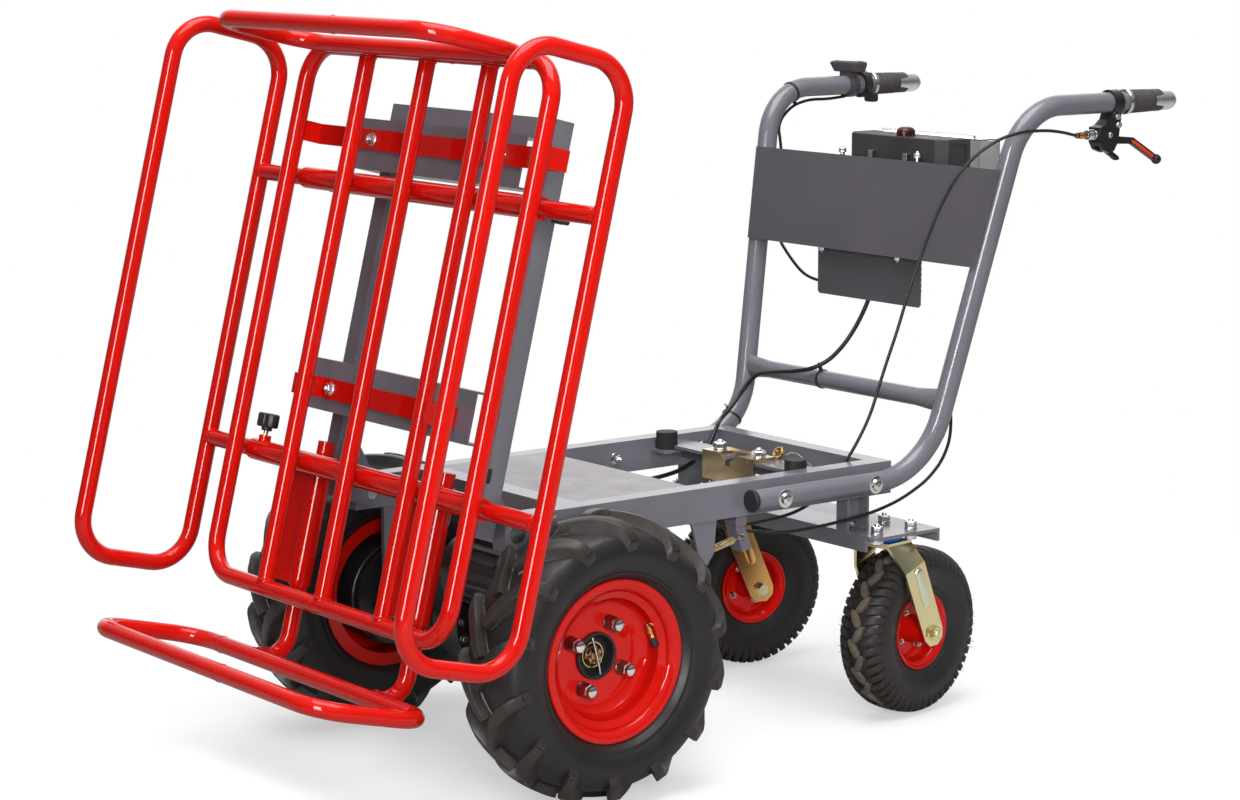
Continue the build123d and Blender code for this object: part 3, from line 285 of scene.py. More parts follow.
def piece(name, bm, body, slot, *materials):
    """Finished object from a bmesh: merged, turned outwards, shaded by angle, and riding on a given body."""
    bmesh.ops.remove_doubles(bm, verts=bm.verts, dist=1e-6)
    bmesh.ops.recalc_face_normals(bm, faces=bm.faces)
    mesh = bpy.data.meshes.new(name)
    bm.to_mesh(mesh)
    bm.free()
    mesh.shade_smooth()
    mesh.set_sharp_from_angle(angle=SMOOTH_ANGLE)
    for material in materials:
        mesh.materials.append(material)
    made = bpy.data.objects.new(name, mesh)
    bpy.context.scene.collection.objects.link(made)
    if body:
        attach(made, body)
    return made


def along(direction):
    """Turn that carries +Z to a direction."""
    return Vector((0, 0, 1)).rotation_difference(Vector(direction)).to_matrix().to_4x4()


def reached(verts):
    """All vertices joined to these by edges."""
    found = set(verts)
    stack = list(verts)
    while stack:
        for edge in stack.pop().link_edges:
            for vert in edge.verts:
                if vert not in found:
                    found.add(vert)
                    stack.append(vert)
    return list(found)


def coated(verts, coat):
    """Gives the faces round these vertices one of their piece's materials."""
    for face in {f for v in verts for f in v.link_faces}:
        face.material_index = coat


def soften(bm, edges, offset, segments=2):
    """Rounds edges by an offset in millimetres and gives the new vertices."""
    cut = bmesh.ops.bevel(bm, geom=list(edges), offset=offset / 1000, offset_type="OFFSET", profile=0.5,
                          segments=segments, affect="EDGES", material=-1)
    return cut["verts"]


def turned(bm, profile, centre, direction, steps=TURN_STEPS, coat=0):
    """Turned form from (radius, height) points in millimetres, with its axis along a direction."""
    verts = [bm.verts.new((r / 1000, 0, h / 1000)) for r, h in profile]
    edges = [bm.edges.new(pair) for pair in zip(verts, verts[1:])]
    bmesh.ops.spin(bm, geom=verts + edges, cent=(0, 0, 0), axis=(0, 0, 1), angle=2 * pi, steps=steps,
                   use_merge=True)
    whole = reached(verts)
    bmesh.ops.remove_doubles(bm, verts=whole, dist=1e-7)
    whole = [v for v in whole if v.is_valid]
    bmesh.ops.transform(bm, matrix=Matrix.Translation(centre) @ along(direction), verts=whole)
    coated(whole, coat)


def hexagon(bm, centre, direction, across, height, turn=0.0, coat=0):
    """Hexagon head or nut across its flats in millimetres, with a chamfered top."""
    corner, depth = across / 2000 / cos(pi / 6), height / 1000
    made = bmesh.ops.create_cone(bm, cap_ends=True, segments=6, radius1=corner, radius2=corner, depth=depth)
    verts = made["verts"]
    top = {e for v in verts for e in v.link_edges if all(v.co.z > 0 for v in e.verts)}
    cut = soften(bm, top, across * 0.07, 1)
    verts = list({v for v in verts if v.is_valid} | set(cut))
    place = Matrix.Translation(Vector(centre) + Vector(direction).normalized() * depth / 2) @ along(direction)
    bmesh.ops.transform(bm, matrix=place @ Matrix.Rotation(turn, 4, "Z"), verts=verts)
    coated(verts, coat)


def thread_end(bm, centre, direction, radius, length, coat=0):
    """Threaded bolt end, as close ridges."""
    pitch, root = 1.25, radius * 0.86
    profile = [(0, 0), (root, 0)]
    count = max(2, int(length / pitch))
    for index in range(count):
        profile += [(radius, (index + 0.5) * pitch), (root, (index + 1) * pitch)]
    end = count * pitch + radius * 0.3
    turned(bm, profile + [(radius * 0.6, end), (0, end)], centre, direction, 14, coat)


WASHER = 1.8


def bolted(bm, centre, direction, across, washer, head, tail=0.0):
    """Washer of a radius, hexagon across its flats and of a height, and bolt end of a length, on one face."""
    centre, direction = Vector(centre), Vector(direction).normalized()
    soft = WASHER * 0.3
    turned(bm, [(0, 0), (washer, 0), (washer, WASHER - soft), (washer - soft, WASHER), (0, WASHER)],
           centre, direction)
    hexagon(bm, centre + direction * WASHER / 1000, direction, across, head, turn=0.3)
    if tail:
        thread_end(bm, centre + direction * (WASHER + head) / 1000, direction, across * 0.28, tail)


HANDLE_X = 221.0
HANDLE_Z = 374.0
HANDLE_OUT = 237.0
HANDLE_FRONT_Y = 318.0
HANDLE_BOLT_Y = (371, 550)
RAIL_INSIDE = 175.0
RAIL_NUT = (13, 10, 8, 7)
DOME = [(0, 0), (13.5, 0), (13.5, 1.6), (9.5, 2.2), (7.8, 5.8), (4, 7.6), (2.6, 7.6), (2.2, 5), (0, 5)]

bm = bmesh.new()
for side in (-1, 1):
    for y in HANDLE_BOLT_Y:
        turned(bm, DOME, spot(side * (HANDLE_OUT - 0.6), y, HANDLE_Z), (side, 0, 0))
        bolted(bm, spot(side * RAIL_INSIDE, y, HANDLE_Z), (-side, 0, 0), *RAIL_NUT)
piece("handle_bolts", bm, "chassis", "bright_zinc", BRIGHT_ZINC)

ARM_TOP = 300.0
CASTER_PLATE_LOW = 289.0
CASTER_BOLT_X = (180, 240)
CASTER_BOLT_Y = (551, 620)
PLATE_BOLT = (16, 10.5, 8.5, 3)
PLATE_NUT = (16, 10, 4.5)

bm = bmesh.new()
for x in CASTER_BOLT_X:
    for y in CASTER_BOLT_Y:
        for side in (-1, 1):
            bolted(bm, spot(side * x, y, ARM_TOP), (0, 0, 1), *PLATE_BOLT)
            bolted(bm, spot(side * x, y, CASTER_PLATE_LOW), (0, 0, -1), *PLATE_NUT)
piece("caster_bolts", bm, "chassis", "bright_zinc", BRIGHT_ZINC)

END_PLUG = [(0, -6), (15.8, -6), (16.6, -5.2), (16.6, -0.2), (15, 1), (0, 1.6)]
bm = bmesh.new()
for side in (-1, 1):
    turned(bm, END_PLUG, spot(side * HANDLE_X, HANDLE_FRONT_Y, HANDLE_Z), (0, -1, 0))
piece("handle_end_plugs", bm, "chassis", "black_plastic", BLACK_PLASTIC)

# Rubber buffers, hinge pins and slam latch: moulded stops on the cross plate, headed pins at the rail ends,
# and an angle plate in pale zinc held by two bolts, with its claw on a pin behind it and a brass pull ring.

BLACK_RUBBER = moulded("black_rubber", (0.018, 0.017, 0.018), (0.5, 0.68), (700.0, 0.16), 0.12)
PALE_ZINC = plated("pale_zinc", (0.72, 0.55, 0.32), (0.58, 0.47, 0.29), 14.0, (0.18, 0.28))
BRASS = plated("brass", (0.80, 0.53, 0.18), (0.66, 0.40, 0.14), 60.0, (0.16, 0.30))
dress(BLACK_RUBBER, "rubber_buffers")
dress(BRIGHT_ZINC, "hinge_pins", "latch_claw", "latch_striker")
dress(PALE_ZINC, "latch_plate")

LATCH_TOP = 397.0
LATCH_BOLT_X = (-47, 47)
LATCH_BOLT_Y = 480.0
LATCH_BOLT = (19, 11, 8.4, 2.5)
bm = bmesh.new()
for x in LATCH_BOLT_X:
    bolted(bm, spot(x, LATCH_BOLT_Y, LATCH_TOP), (0, 0, 1), *LATCH_BOLT)
piece("latch_bolts", bm, "chassis", "bright_zinc", BRIGHT_ZINC)


def skin(bm, rows):
    """Faces between rows of vertices, which run round a bar, and over its two ends."""
    faces = [bm.faces.new(rows[0]), bm.faces.new(rows[-1])]
    for first, second in zip(rows, rows[1:]):
        for k in range(len(first)):
            faces.append(bm.faces.new((first[k - 1], first[k], second[k], second[k - 1])))
    return faces


def wire(bm, points, radius, sides=8):
    """Round wire through points, with its ends closed."""
    across = Vector((1, 0, 0))
    turns = [2 * pi * k / sides for k in range(sides)]
    rings = []
    for index, here in enumerate(points):
        before, after = points[max(index - 1, 0)], points[min(index + 1, len(points) - 1)]
        heading = (after - before).normalized()
        across = (across - heading * across.dot(heading)).normalized()
        second = heading.cross(across)
        ring = [here + (across * cos(a) + second * sin(a)) * radius / 1000 for a in turns]
        rings.append([bm.verts.new(point) for point in ring])
    skin(bm, rings)


RING_MIDDLE = spot(50, 517, 399)
RING_R = 0.0085
RING_WIRE_R = 3.0
bm = bmesh.new()
turns = [2 * pi * k / 24 for k in range(25)]
wire(bm, [RING_MIDDLE + Vector((cos(a), 0.5 * sin(a), 0.85 * sin(a))) * RING_R for a in turns], RING_WIRE_R)
piece("latch_pull_ring", bm, "chassis", "yellow_zinc", BRASS)

PULL = [(60, 519, 396), (72, 522, 402), (90, 520, 404), (112, 515, 399), (132, 511, 393), (141, 509, 389.5)]
bm = bmesh.new()
wire(bm, [spot(*p) for p in PULL], 1.0)
piece("latch_pull_wire", bm, "chassis", "bright_zinc", BRIGHT_ZINC)

# Brake arm spring: one yellow zinc wire wound in close turns, with a hook at each end over the pegs of the
# frame tab and of the brake arm.

SPRING_START = spot(187.5, 260.5, 300.0)
SPRING_END = spot(187.5, 327.5, 314.5)
SPRING_TURNS = 15
SPRING_LEG = 14.0
COIL_R = 4.4
SPRING_WIRE_R = 0.95
YELLOW_ZINC = plated("yellow_zinc", (0.96, 0.80, 0.44), (0.88, 0.84, 0.54), 16.0, (0.16, 0.22))


def spring_wire():
    """Points of the spring along its own axis: hook, close turns and the other hook, in one wire."""
    length = (SPRING_END - SPRING_START).length * 1000
    angles = [radians(60 - 20 * k) for k in range(13)]
    hook = [(COIL_R * sin(angle), 1 + COIL_R * cos(angle)) for angle in angles]
    leg = [(0, 1.2, 6.5), (1.4, 0.4, 10.0), (3.6, 0.2, 12.5)]
    points = [(0, -y, -z) for y, z in reversed(hook)] + leg
    steps = 14 * SPRING_TURNS
    for k in range(steps + 1):
        angle = 2 * pi * SPRING_TURNS * k / steps
        rise = SPRING_LEG + (length - 2 * SPRING_LEG) * k / steps
        points.append((COIL_R * cos(angle), COIL_R * sin(angle), rise))
    points += [(x, y, length - z) for x, y, z in reversed(leg)]
    return points + [(0, y, length + z) for y, z in hook]


bm = bmesh.new()
place = Matrix.Translation(SPRING_START) @ along(SPRING_END - SPRING_START)
wire(bm, [place @ (Vector(p) / 1000) for p in spring_wire()], SPRING_WIRE_R)
spring = piece("brake_spring_wire", bm, None, "bright_zinc", YELLOW_ZINC)
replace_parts(spring, "brake_spring")
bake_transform(spring)

# Handle: bent tubes with a flattened brace, a folded panel plate in textured grey, and the controller with
# its guard and the battery case hung from it. Zinc bolts hold the shelf, and black ties hold the leads.

PLATE_PAINT = paint("textured_plate_paint", (0.078, 0.073, 0.084), (0.20, 0.20, 0.21), (0.42, 0.56),
                    shine=0.3, tone=0.07, peel=(420.0, 0.30), dust=0.08)
CASE_PLASTIC = moulded("case_plastic", (0.034, 0.031, 0.035), (0.42, 0.58), (600.0, 0.2), 0.06, shine=0.3)
RED_PLASTIC = moulded("red_plastic", (0.035, 0.006, 0.006), (0.2, 0.34), (600.0, 0.05))
CABLE_JACKET = moulded("cable_jacket", (0.012, 0.012, 0.013), (0.28, 0.42), (500.0, 0.05), 0.05)
dress(PLATE_PAINT, "panel_plate", "controller_box")
dress(CASE_PLASTIC, "battery_box", "battery_pack")
dress(RED_PLASTIC, "power_knob")
dress(CABLE_JACKET, "brake_cable", "motor_lead", "sensor_lead", "throttle_lead")

SHELF_LOW = 694.0
SHELF_BOLT = (10, 7.2, 5.5, 2.5)
GUARD_BOLT = (10, 6.5, 5, 2)
GUARD_STEM = [(0, -9.5), (3.6, -9.5), (3.6, 0), (0, 0)]
bm = bmesh.new()
for x in (-92, 86):
    bolted(bm, spot(x, 727, SHELF_LOW), (0, 0, -1), *SHELF_BOLT)
for x, z in ((-76, 845), (99, 847)):
    bolted(bm, spot(x, 754, z), (0, 0, 1), *GUARD_BOLT)
    turned(bm, GUARD_STEM, spot(x, 754, z), (0, 0, 1), 16)
piece("panel_bolts", bm, "chassis", "bright_zinc", BRIGHT_ZINC)


def bevelled_box(bm, low, high, soft, coat=0):
    """Block between two corners of the drawing with rounded edges."""
    made = bmesh.ops.create_cube(bm, size=1.0)["verts"]
    low, high = spot(*low), spot(*high)
    for vert in made:
        vert.co = [a + (b - a) * (c + 0.5) for a, b, c in zip(low, high, vert.co)]
    cut = soften(bm, {e for v in made for e in v.link_edges}, soft)
    verts = [v for v in made if v.is_valid] + cut
    coated(verts, coat)
    return verts


bm = bmesh.new()
for x in (-8, 72):
    bevelled_box(bm, (x - 5, 751, 828), (x + 5, 753, 852), 0.8)
    bevelled_box(bm, (x - 5, 751, 850.5), (x + 5, 759.8, 852.5), 0.8)
piece("case_clips", bm, "chassis", "bright_zinc", BRIGHT_ZINC)

TIES = [
    ((-291.644, 830.769, 927.294), (-0.04692, 0.92884, 0.36749), 16.3, (0, 0.4, -1)),
    ((-46, 690.9, 487), (1, 0, 0), 14.3, (0, -0.3, 1)),
    ((-225.031, 650.813, 405.573), (-0.08591, 0.73476, 0.67287), 16.3, (0.2, -0.6, 0.8)),
]


def tie(bm, centre, direction, inner, head):
    """Cable tie: a flat band round a tube, with its lock and a short tail towards a side."""
    outer = inner + 1.3
    turned(bm, [(inner, -1.8), (outer, -1.8), (outer, 1.8), (inner, 1.8), (inner, -1.8)], centre, direction)
    towards = Vector(head).normalized()
    lock = centre + towards * (inner + 3) / 1000
    turned(bm, [(0, -3), (3, -3), (3.4, 0), (3, 3), (0, 3)], lock, towards, 12)
    wire(bm, [lock, lock + towards * 0.006, lock + towards * 0.009 + Vector((0, -0.003, 0.002))], 1.1)


bm = bmesh.new()
for place, heading, inner, head in TIES:
    tie(bm, spot(*place), heading, inner, head)
piece("cable_ties", bm, "chassis", "black_plastic", BLACK_PLASTIC)


def clear_moulding():
    """Clear plastic of the charging cover, with faint scuffs."""
    material, tree, shader = blank_material("clear_plastic")
    shader.inputs["Base Color"].default_value = (0.97, 0.96, 0.97, 1)
    shader.inputs["Transmission Weight"].default_value = 0.95
    shader.inputs["IOR"].default_value = 1.3
    tree.links.new(mottle(tree, 60.0, 6.0, (0.4, 0.75), (0.03, 0.2), 0.7), shader.inputs["Roughness"])
    return material


dress(clear_moulding(), "clear_cover")

# Controls: tapered rubber grips with rings and bright collars, whose tongues lap over bright bullet ends, the
# battery display on its clamp ring, and the brake lever with its red pad, perch bolts, adjuster and ferrule.

BLACK_PAINT = paint("black_paint", (0.014, 0.014, 0.015), (0.12, 0.12, 0.12), (0.22, 0.4), tone=0.15,
                    dust=0.05)
BRIGHT_METAL = plated("bright_metal", (0.84, 0.84, 0.84), (0.74, 0.74, 0.76), 60.0, (0.08, 0.2))
dress(BLACK_PLASTIC, "throttle_lever")
dress(BLACK_PAINT, "brake_perch", "brake_lever", "lock_lever")

GRIP_X = 292.5
GRIP_Z = 934.0
GRIP_START_Y = 1005.0
COLLAR = [
    (16.4, 0.6), (19.3, 0.6), (19.9, 1.4), (19.9, 6), (18.8, 8.4), (17.8, 9.2), (16.4, 9.2), (16.4, 0.6),
]


def on_grips(profile, steps):
    """Turned form on both grips."""
    bm = bmesh.new()
    for side in (-1, 1):
        turned(bm, profile, spot(side * GRIP_X, GRIP_START_Y, GRIP_Z), (0, 1, 0), steps)
    return bm


piece("grip_collars", on_grips(COLLAR, 40), "chassis", "bright_metal", BRIGHT_METAL)

SPIGOT_R = 11.2
RIB_COUNT = 10
RIB_START = 11.5
RIB_PITCH = 4.4
SLEEVE_END = 58.0
SLEEVE_SEAT = 53.0
TONGUE_LENGTH = 19.0
TONGUE_HALF = radians(57)
TONGUE_CORNER = radians(7)
GRIP_RUBBER = moulded("grip_rubber", (0.054, 0.048, 0.047), (0.5, 0.66), (700.0, 0.16), 0.12)
GRIP_SILVER = plated("grip_silver", (0.94, 0.93, 0.92), (0.88, 0.87, 0.87), 60.0, (0.26, 0.36))


def grip_sleeves():
    """Ribbed sleeves with a tongue above and below at their outer ends."""
    profile = [(SPIGOT_R, 0.2), (16.2, 0.2), (16.2, 9.4), (18.6, 10.2)]
    for index in range(RIB_COUNT):
        low, crest = RIB_START + index * RIB_PITCH, 18.4 - 0.08 * index
        profile += [(crest - 0.6, low), (crest, low + 0.7), (crest, low + 2.2), (crest - 0.7, low + 2.7),
                    (crest - 2, low + 3.1), (crest - 2, low + 4)]
    profile += [(17.3, RIB_START + RIB_COUNT * RIB_PITCH), (17.3, SLEEVE_END), (17.2, SLEEVE_END + 0.8),
                (16.6, SLEEVE_END + 0.8), (16.6, SLEEVE_SEAT), (SPIGOT_R, SLEEVE_SEAT), (SPIGOT_R, 0.2)]
    bm = on_grips(profile, 72)
    for vert in bm.verts:
        base = spot(GRIP_X if vert.co.x > 0 else -GRIP_X, GRIP_START_Y, GRIP_Z)
        from_base = vert.co - base
        if from_base.y > (SLEEVE_END + 0.5) / 1000:
            away = Vector((abs(from_base.z), from_base.x)).angle(Vector((1, 0)))
            share = min(1, max(0, (TONGUE_HALF + TONGUE_CORNER - away) / TONGUE_CORNER))
            vert.co.y += share * TONGUE_LENGTH / 1000
    return bm


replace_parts(piece("grip_sleeves", grip_sleeves(), "chassis", "black_rubber", GRIP_RUBBER), "grips")

BULLET = [
    (0, 103.3), (SPIGOT_R, 103.3), (SPIGOT_R, SLEEVE_SEAT + 0.2), (16.4, SLEEVE_SEAT + 0.2), (16.4, 96),
    (15.8, 101), (14.3, 105.2), (11.8, 108.8), (8.4, 111.2), (4.4, 112.6), (0, 113),
]
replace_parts(piece("grip_bullets", on_grips(BULLET, 48), "chassis", "bright_metal", GRIP_SILVER), "grip_caps")

PERCH_FACE_X = GRIP_X + 12
CABLE_Z = 886.0
SOCKET_SCREW = [(0, 0), (5.4, 0), (5.4, 2.4), (4.6, 4), (2.4, 4.6), (2.2, 2.6), (0, 2.6)]
PIVOT_HEAD = [(0, 0), (4.6, 0), (4.6, 2.0), (3.6, 3.2), (0, 3.4)]
ADJUSTER = [
    (0, -0.5), (8, -0.5), (8.4, 1), (8.4, 3), (7.4, 4), (7.4, 6.5), (8.2, 7.5), (8.2, 12), (7.4, 13.5),
    (7.2, 17), (5, 19), (0, 19),
]
bm = bmesh.new()
for head, y, z in ((SOCKET_SCREW, 981, 913), (SOCKET_SCREW, 983.5, 900), (PIVOT_HEAD, 966, 885)):
    turned(bm, head, spot(PERCH_FACE_X, y, z), (1, 0, 0), 20)
turned(bm, ADJUSTER, spot(GRIP_X, 944.5, CABLE_Z), (0, -1, 0), 20)
piece("perch_bolts", bm, "chassis", "bright_zinc", BRIGHT_ZINC)

COPPER = plated("copper_ferrule", (0.78, 0.36, 0.14), (0.60, 0.26, 0.10), 60.0, (0.2, 0.34))
FERRULE = [(0, 0), (4.9, 0), (4.9, 7), (5.6, 8), (5.6, 13), (4.9, 14), (4.2, 20), (3, 22.5), (0, 22.5)]
bm = bmesh.new()
turned(bm, FERRULE, spot(GRIP_X, 926, CABLE_Z), (0, -1, 0), 20)
piece("cable_ferrule", bm, "chassis", "yellow_zinc", COPPER)


def raised(bm, face, shift):
    """Draws a face out by a shift in millimetres and gives the edges round its new place."""
    grown = bmesh.ops.extrude_face_region(bm, geom=[face])["geom"]
    top = [g for g in grown if isinstance(g, bmesh.types.BMVert)]
    bmesh.ops.translate(bm, verts=top, vec=Vector(shift) / 1000)
    return [g for g in grown if isinstance(g, bmesh.types.BMEdge)]


LEVER_PAD = [(1022, 875), (1032, 872), (1074, 848.5), (1073, 844.5), (1068, 845), (1025, 869.5)]
LEVER_HALF = 3.6
PAD_HEIGHT = 1.3
ORANGE_PAD = moulded("orange_pad", (0.62, 0.055, 0.012), (0.35, 0.5), (600.0, 0.1), 0.05)
bm = bmesh.new()
for way in (1, -1):
    face = bm.faces.new([bm.verts.new(spot(GRIP_X + way * LEVER_HALF, y, z)) for y, z in LEVER_PAD])
    soften(bm, raised(bm, face, (way * PAD_HEIGHT, 0, 0)), 0.7)
piece("lever_pad", bm, "brake_lever", "red_plastic", ORANGE_PAD)

DISPLAY_TOP = 974.0
DISPLAY_Y = 960.0
WAIST = 0.963
CLAMP_Y = 959.0
CLAMP = [(16.1, -9), (20, -9), (20.4, -8.4), (20.4, 8.4), (20, 9), (16.1, 9), (16.1, -9)]
DISPLAY_PLASTIC = moulded("display_plastic", (0.052, 0.046, 0.052), (0.34, 0.5), (600.0, 0.12))
bm = bmesh.new()
middle = spot(-GRIP_X - 2, DISPLAY_Y, 0)
for vert in bevelled_box(bm, (-GRIP_X - 34, 944, 956), (-GRIP_X + 30, 976, DISPLAY_TOP), 4.5):
    if vert.co.z < WAIST:
        vert.co.x = middle.x + (vert.co.x - middle.x) * (0.80 if vert.co.x < middle.x else 0.94)
        vert.co.y = middle.y + (vert.co.y - middle.y) * 0.9
bevelled_box(bm, (-GRIP_X - 13, 949, 948), (-GRIP_X + 13, 969, 959), 1.5)
turned(bm, CLAMP, spot(-GRIP_X, CLAMP_Y, GRIP_Z), (0, 1, 0), 40)
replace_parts(piece("display_case", bm, "chassis", "black_plastic", DISPLAY_PLASTIC), "display_unit")

SCREEN = moulded("display_screen", (0.012, 0.016, 0.018), (0.06, 0.14), (300.0, 0.02), 0.05, shine=0.6)
KEY = [(0, -1), (2.2, -1), (2.2, 0.5), (1.6, 0.9), (0, 0.9)]
bm = bmesh.new()
bevelled_box(bm, (-GRIP_X - 26, 948.5, DISPLAY_TOP - 1), (-GRIP_X + 22, 971.5, DISPLAY_TOP + 0.7), 0.6)
for x in (-GRIP_X - 30, -GRIP_X + 26):
    turned(bm, KEY, spot(x, DISPLAY_Y, DISPLAY_TOP), (0, 0, 1), 14)
piece("display_face", bm, "chassis", "black_plastic", SCREEN)

# Drive: a cast transaxle in black paint, bolted together along its middle, with a cast motor beside it that
# has cooling fins. Dark zinc bolts run round the casing's joint and round the motor's end.

AXLE_Y = -15.0
AXLE_Z = 205.0
MOTOR_Y = -40.0
MOTOR_Z = 290.0
MOTOR_END_X = 168.0
CASING_BOLT_R = 53.0
CASING_BOLT = (10, 7, 5.5)
MOTOR_BOLT_R = 36.0
MOTOR_BOLT = (8, 6, 4.5)
CAST_METAL = paint("cast_motor_paint", (0.038, 0.038, 0.042), (0.3, 0.3, 0.3), (0.34, 0.5), tone=0.15,
                   peel=(300.0, 0.2))
DARK_ZINC = plated("dark_zinc", (0.22, 0.22, 0.23), (0.15, 0.15, 0.16), 50.0, (0.3, 0.45))
dress(BLACK_PAINT, "transaxle_housing")
dress(CAST_METAL, "drive_motor")


def circle_spots(radius, start, end, step):
    """Places round a circle about X, as (y, z) from its middle, at angles in degrees."""
    return [(radius * cos(radians(a)), radius * sin(radians(a))) for a in range(start, end, step)]


bm = bmesh.new()
for y, z in circle_spots(CASING_BOLT_R, 170, 370, 28):
    for x, way in ((34, 1), (8, -1)):
        bolted(bm, spot(x, AXLE_Y + y, AXLE_Z + z), (way, 0, 0), *CASING_BOLT)
for y, z in circle_spots(MOTOR_BOLT_R, 0, 360, 60):
    bolted(bm, spot(MOTOR_END_X, MOTOR_Y + y, MOTOR_Z + z), (1, 0, 0), *MOTOR_BOLT)
piece("casing_bolts", bm, "chassis", "bright_zinc", DARK_ZINC)

# Front wheels: a lugged tractor tyre with dusty tread on a dished red rim, four long dark nuts with bright
# caps, an open hub with a castle nut and split pin inside, and a brass valve in the rim's well.

WHEEL_X = 302.0
TYRE_INSET = 19.5
LUG_COUNT = 14
RED_PAINT = paint("gloss_red_paint", (0.535, 0.006, 0.003), (0.42, 0.03, 0.02), (0.05, 0.11), shine=0.29,
                  tone=0.05, peel=(160.0, 0.006), dust=0.0)
TYRE_RUBBER = moulded("tyre_rubber", (0.0122, 0.0110, 0.0116), (0.36, 0.50), (500.0, 0.06), 0.15, reach=0.15,
                      shine=0.4)
TREAD_RUBBER = moulded("tread_rubber", (0.0225, 0.0192, 0.0178), (0.34, 0.48), (420.0, 0.1), 0.3,
                       (0.20, 0.16, 0.12), 0.4, 0.42)
dress(RED_PAINT, "front_rim_left", "front_rim_right")


def arc(start, middle, end, steps):
    """Points of a circle's arc through three points of a section, without its first point."""
    a, b, c = complex(*start), complex(*middle), complex(*end)
    ratio = (c - a) / (b - a)
    centre = a + (b - a) * (ratio - abs(ratio) ** 2) / (2j * ratio.imag)
    turn = phase((c - centre) / (a - centre))
    points = [centre + (a - centre) * exp(1j * turn * k / steps) for k in range(1, steps + 1)]
    return [(point.real, point.imag) for point in points]


def revolved_ring(bm, half, steps):
    """Ring about X from half of its section, given as (across, radius) points and mirrored."""
    section = [(-x, r) for x, r in reversed(half)] + half
    turned(bm, [(r, x) for x, r in section + section[:1]], (0, 0, 0), (1, 0, 0), steps)


def round_crest(bm, rows, soft, coat):
    """Rounds the top of a bar of tread, the middle two points of each row, and gives the bar's vertices."""
    half = len(rows[0]) // 2
    crests = [frozenset(row[half - 1:half + 1]) for row in rows]
    tops = set().union(*crests)
    edges = {e for v in tops for e in v.link_edges if set(e.verts) <= tops}
    cut = soften(bm, [e for e in edges if frozenset(e.verts) not in crests[1:-1]], soft)
    whole = reached([v for row in rows for v in row if v.is_valid] + cut)
    coated(whole, coat)
    return whole


def ring_of(bm, verts, count, offset=0.0):
    """Repeats joined geometry round the X axis."""
    bmesh.ops.rotate(bm, verts=verts, cent=(0, 0, 0), matrix=Matrix.Rotation(2 * pi * offset / count, 3, "X"))
    faces = list({f for v in verts for f in v.link_faces})
    bmesh.ops.spin(bm, geom=faces, cent=(0, 0, 0), axis=(1, 0, 0), angle=2 * pi * (count - 1) / count,
                   steps=count - 1, use_duplicate=True)


def flipped(bm, verts):
    """Turns geometry into its mirror image across X."""
    bmesh.ops.scale(bm, vec=(-1, 1, 1), verts=verts)
    return verts


def settle(bm, place):
    """Carries everything made about the X axis to its place."""
    bmesh.ops.transform(bm, matrix=place, verts=bm.verts)


def each_side(build, name, body, slot, materials, node=None):
    """Makes a piece for each side, on that side's body and in place of that side's CAD node."""
    for hand, side in (("left", 1), ("right", -1)):
        bm = bmesh.new()
        build(bm, side)
        made = piece(f"{name}_{hand}", bm, f"{body}_{hand}", slot, *materials)
        if node:
            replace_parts(made, f"{node}_{hand}")


TYRE_HALF = (
    [(0, 190)] + arc((0, 190), (30, 186.5), (54, 178), 10) + arc((54, 178), (66, 152), (58.5, 130), 12)
    + [(57.4, 128.6), (58.0, 126.6), (57.0, 124.6), (54, 123), (50, 120), (47.5, 118), (46, 116), (46, 110.5),
       (38.3, 101.8)]
)
LUG_TOP = [
    (0, 0, 205), (15, 15, 204.8), (30, 30, 203.3), (43, 43, 199.8), (55, 54, 194.4), (65, 62, 188),
    (75, 67, 180), (83, 69, 172), (90, 69.4, 165), (98, 68.4, 157),
]
LUG_FOOT = [
    (0, 0, 187.5), (15, 15, 187), (30, 30, 184.6), (43, 42, 180.6), (55, 51, 175.4), (65, 57, 169.4),
    (75, 60.4, 162.6), (83, 62, 156), (90, 62.4, 150), (98, 62.4, 143),
]
LUG_PATH = [
    (-3, -64), (6, -50), (15, -35), (25, -19.5), (37, -6), (50, 5), (63, 12.5), (74, 17), (82, 19.5),
    (88, 21),
]
LUG_STEPS = 3
LUG_FLARE = ((7, 0.0), (2.6, 0.22), (0, 1.0))
SLIT_RIM = 0.0026
SLIT_SLOPE = 0.0005
SLIT_DEPTH = 0.004


def about_x(x, radius, turn):
    """Point at a radius about the X axis, in metres from millimetres."""
    return Vector((x, radius * sin(turn), radius * cos(turn))) / 1000


def section_point(section, along_it):
    """Point of half a section at a length along it from the middle; the other half mirrors it."""
    reach = abs(along_it)
    for (s0, x0, r0), (s1, x1, r1) in zip(section, section[1:]):
        if reach <= s1 or s1 == section[-1][0]:
            share = (reach - s0) / (s1 - s0)
            x, r = x0 + (x1 - x0) * share, r0 + (r1 - r0) * share
            return (x if along_it >= 0 else -x), r


def smooth_path(points, steps):
    """Points of a smooth curve through the given points."""
    found = []
    for index in range(len(points) - 1):
        a, b, c, d = [Vector(points[min(max(index + k, 0), len(points) - 1)]) for k in (-1, 0, 1, 2)]
        for u in [step / steps for step in range(steps)]:
            bend = (2 * a - 5 * b + 4 * c - d) * u * u + (3 * b - a - 3 * c + d) * u ** 3
            found.append(0.5 * (2 * b + (c - a) * u + bend))
    return found + [Vector(points[-1])]


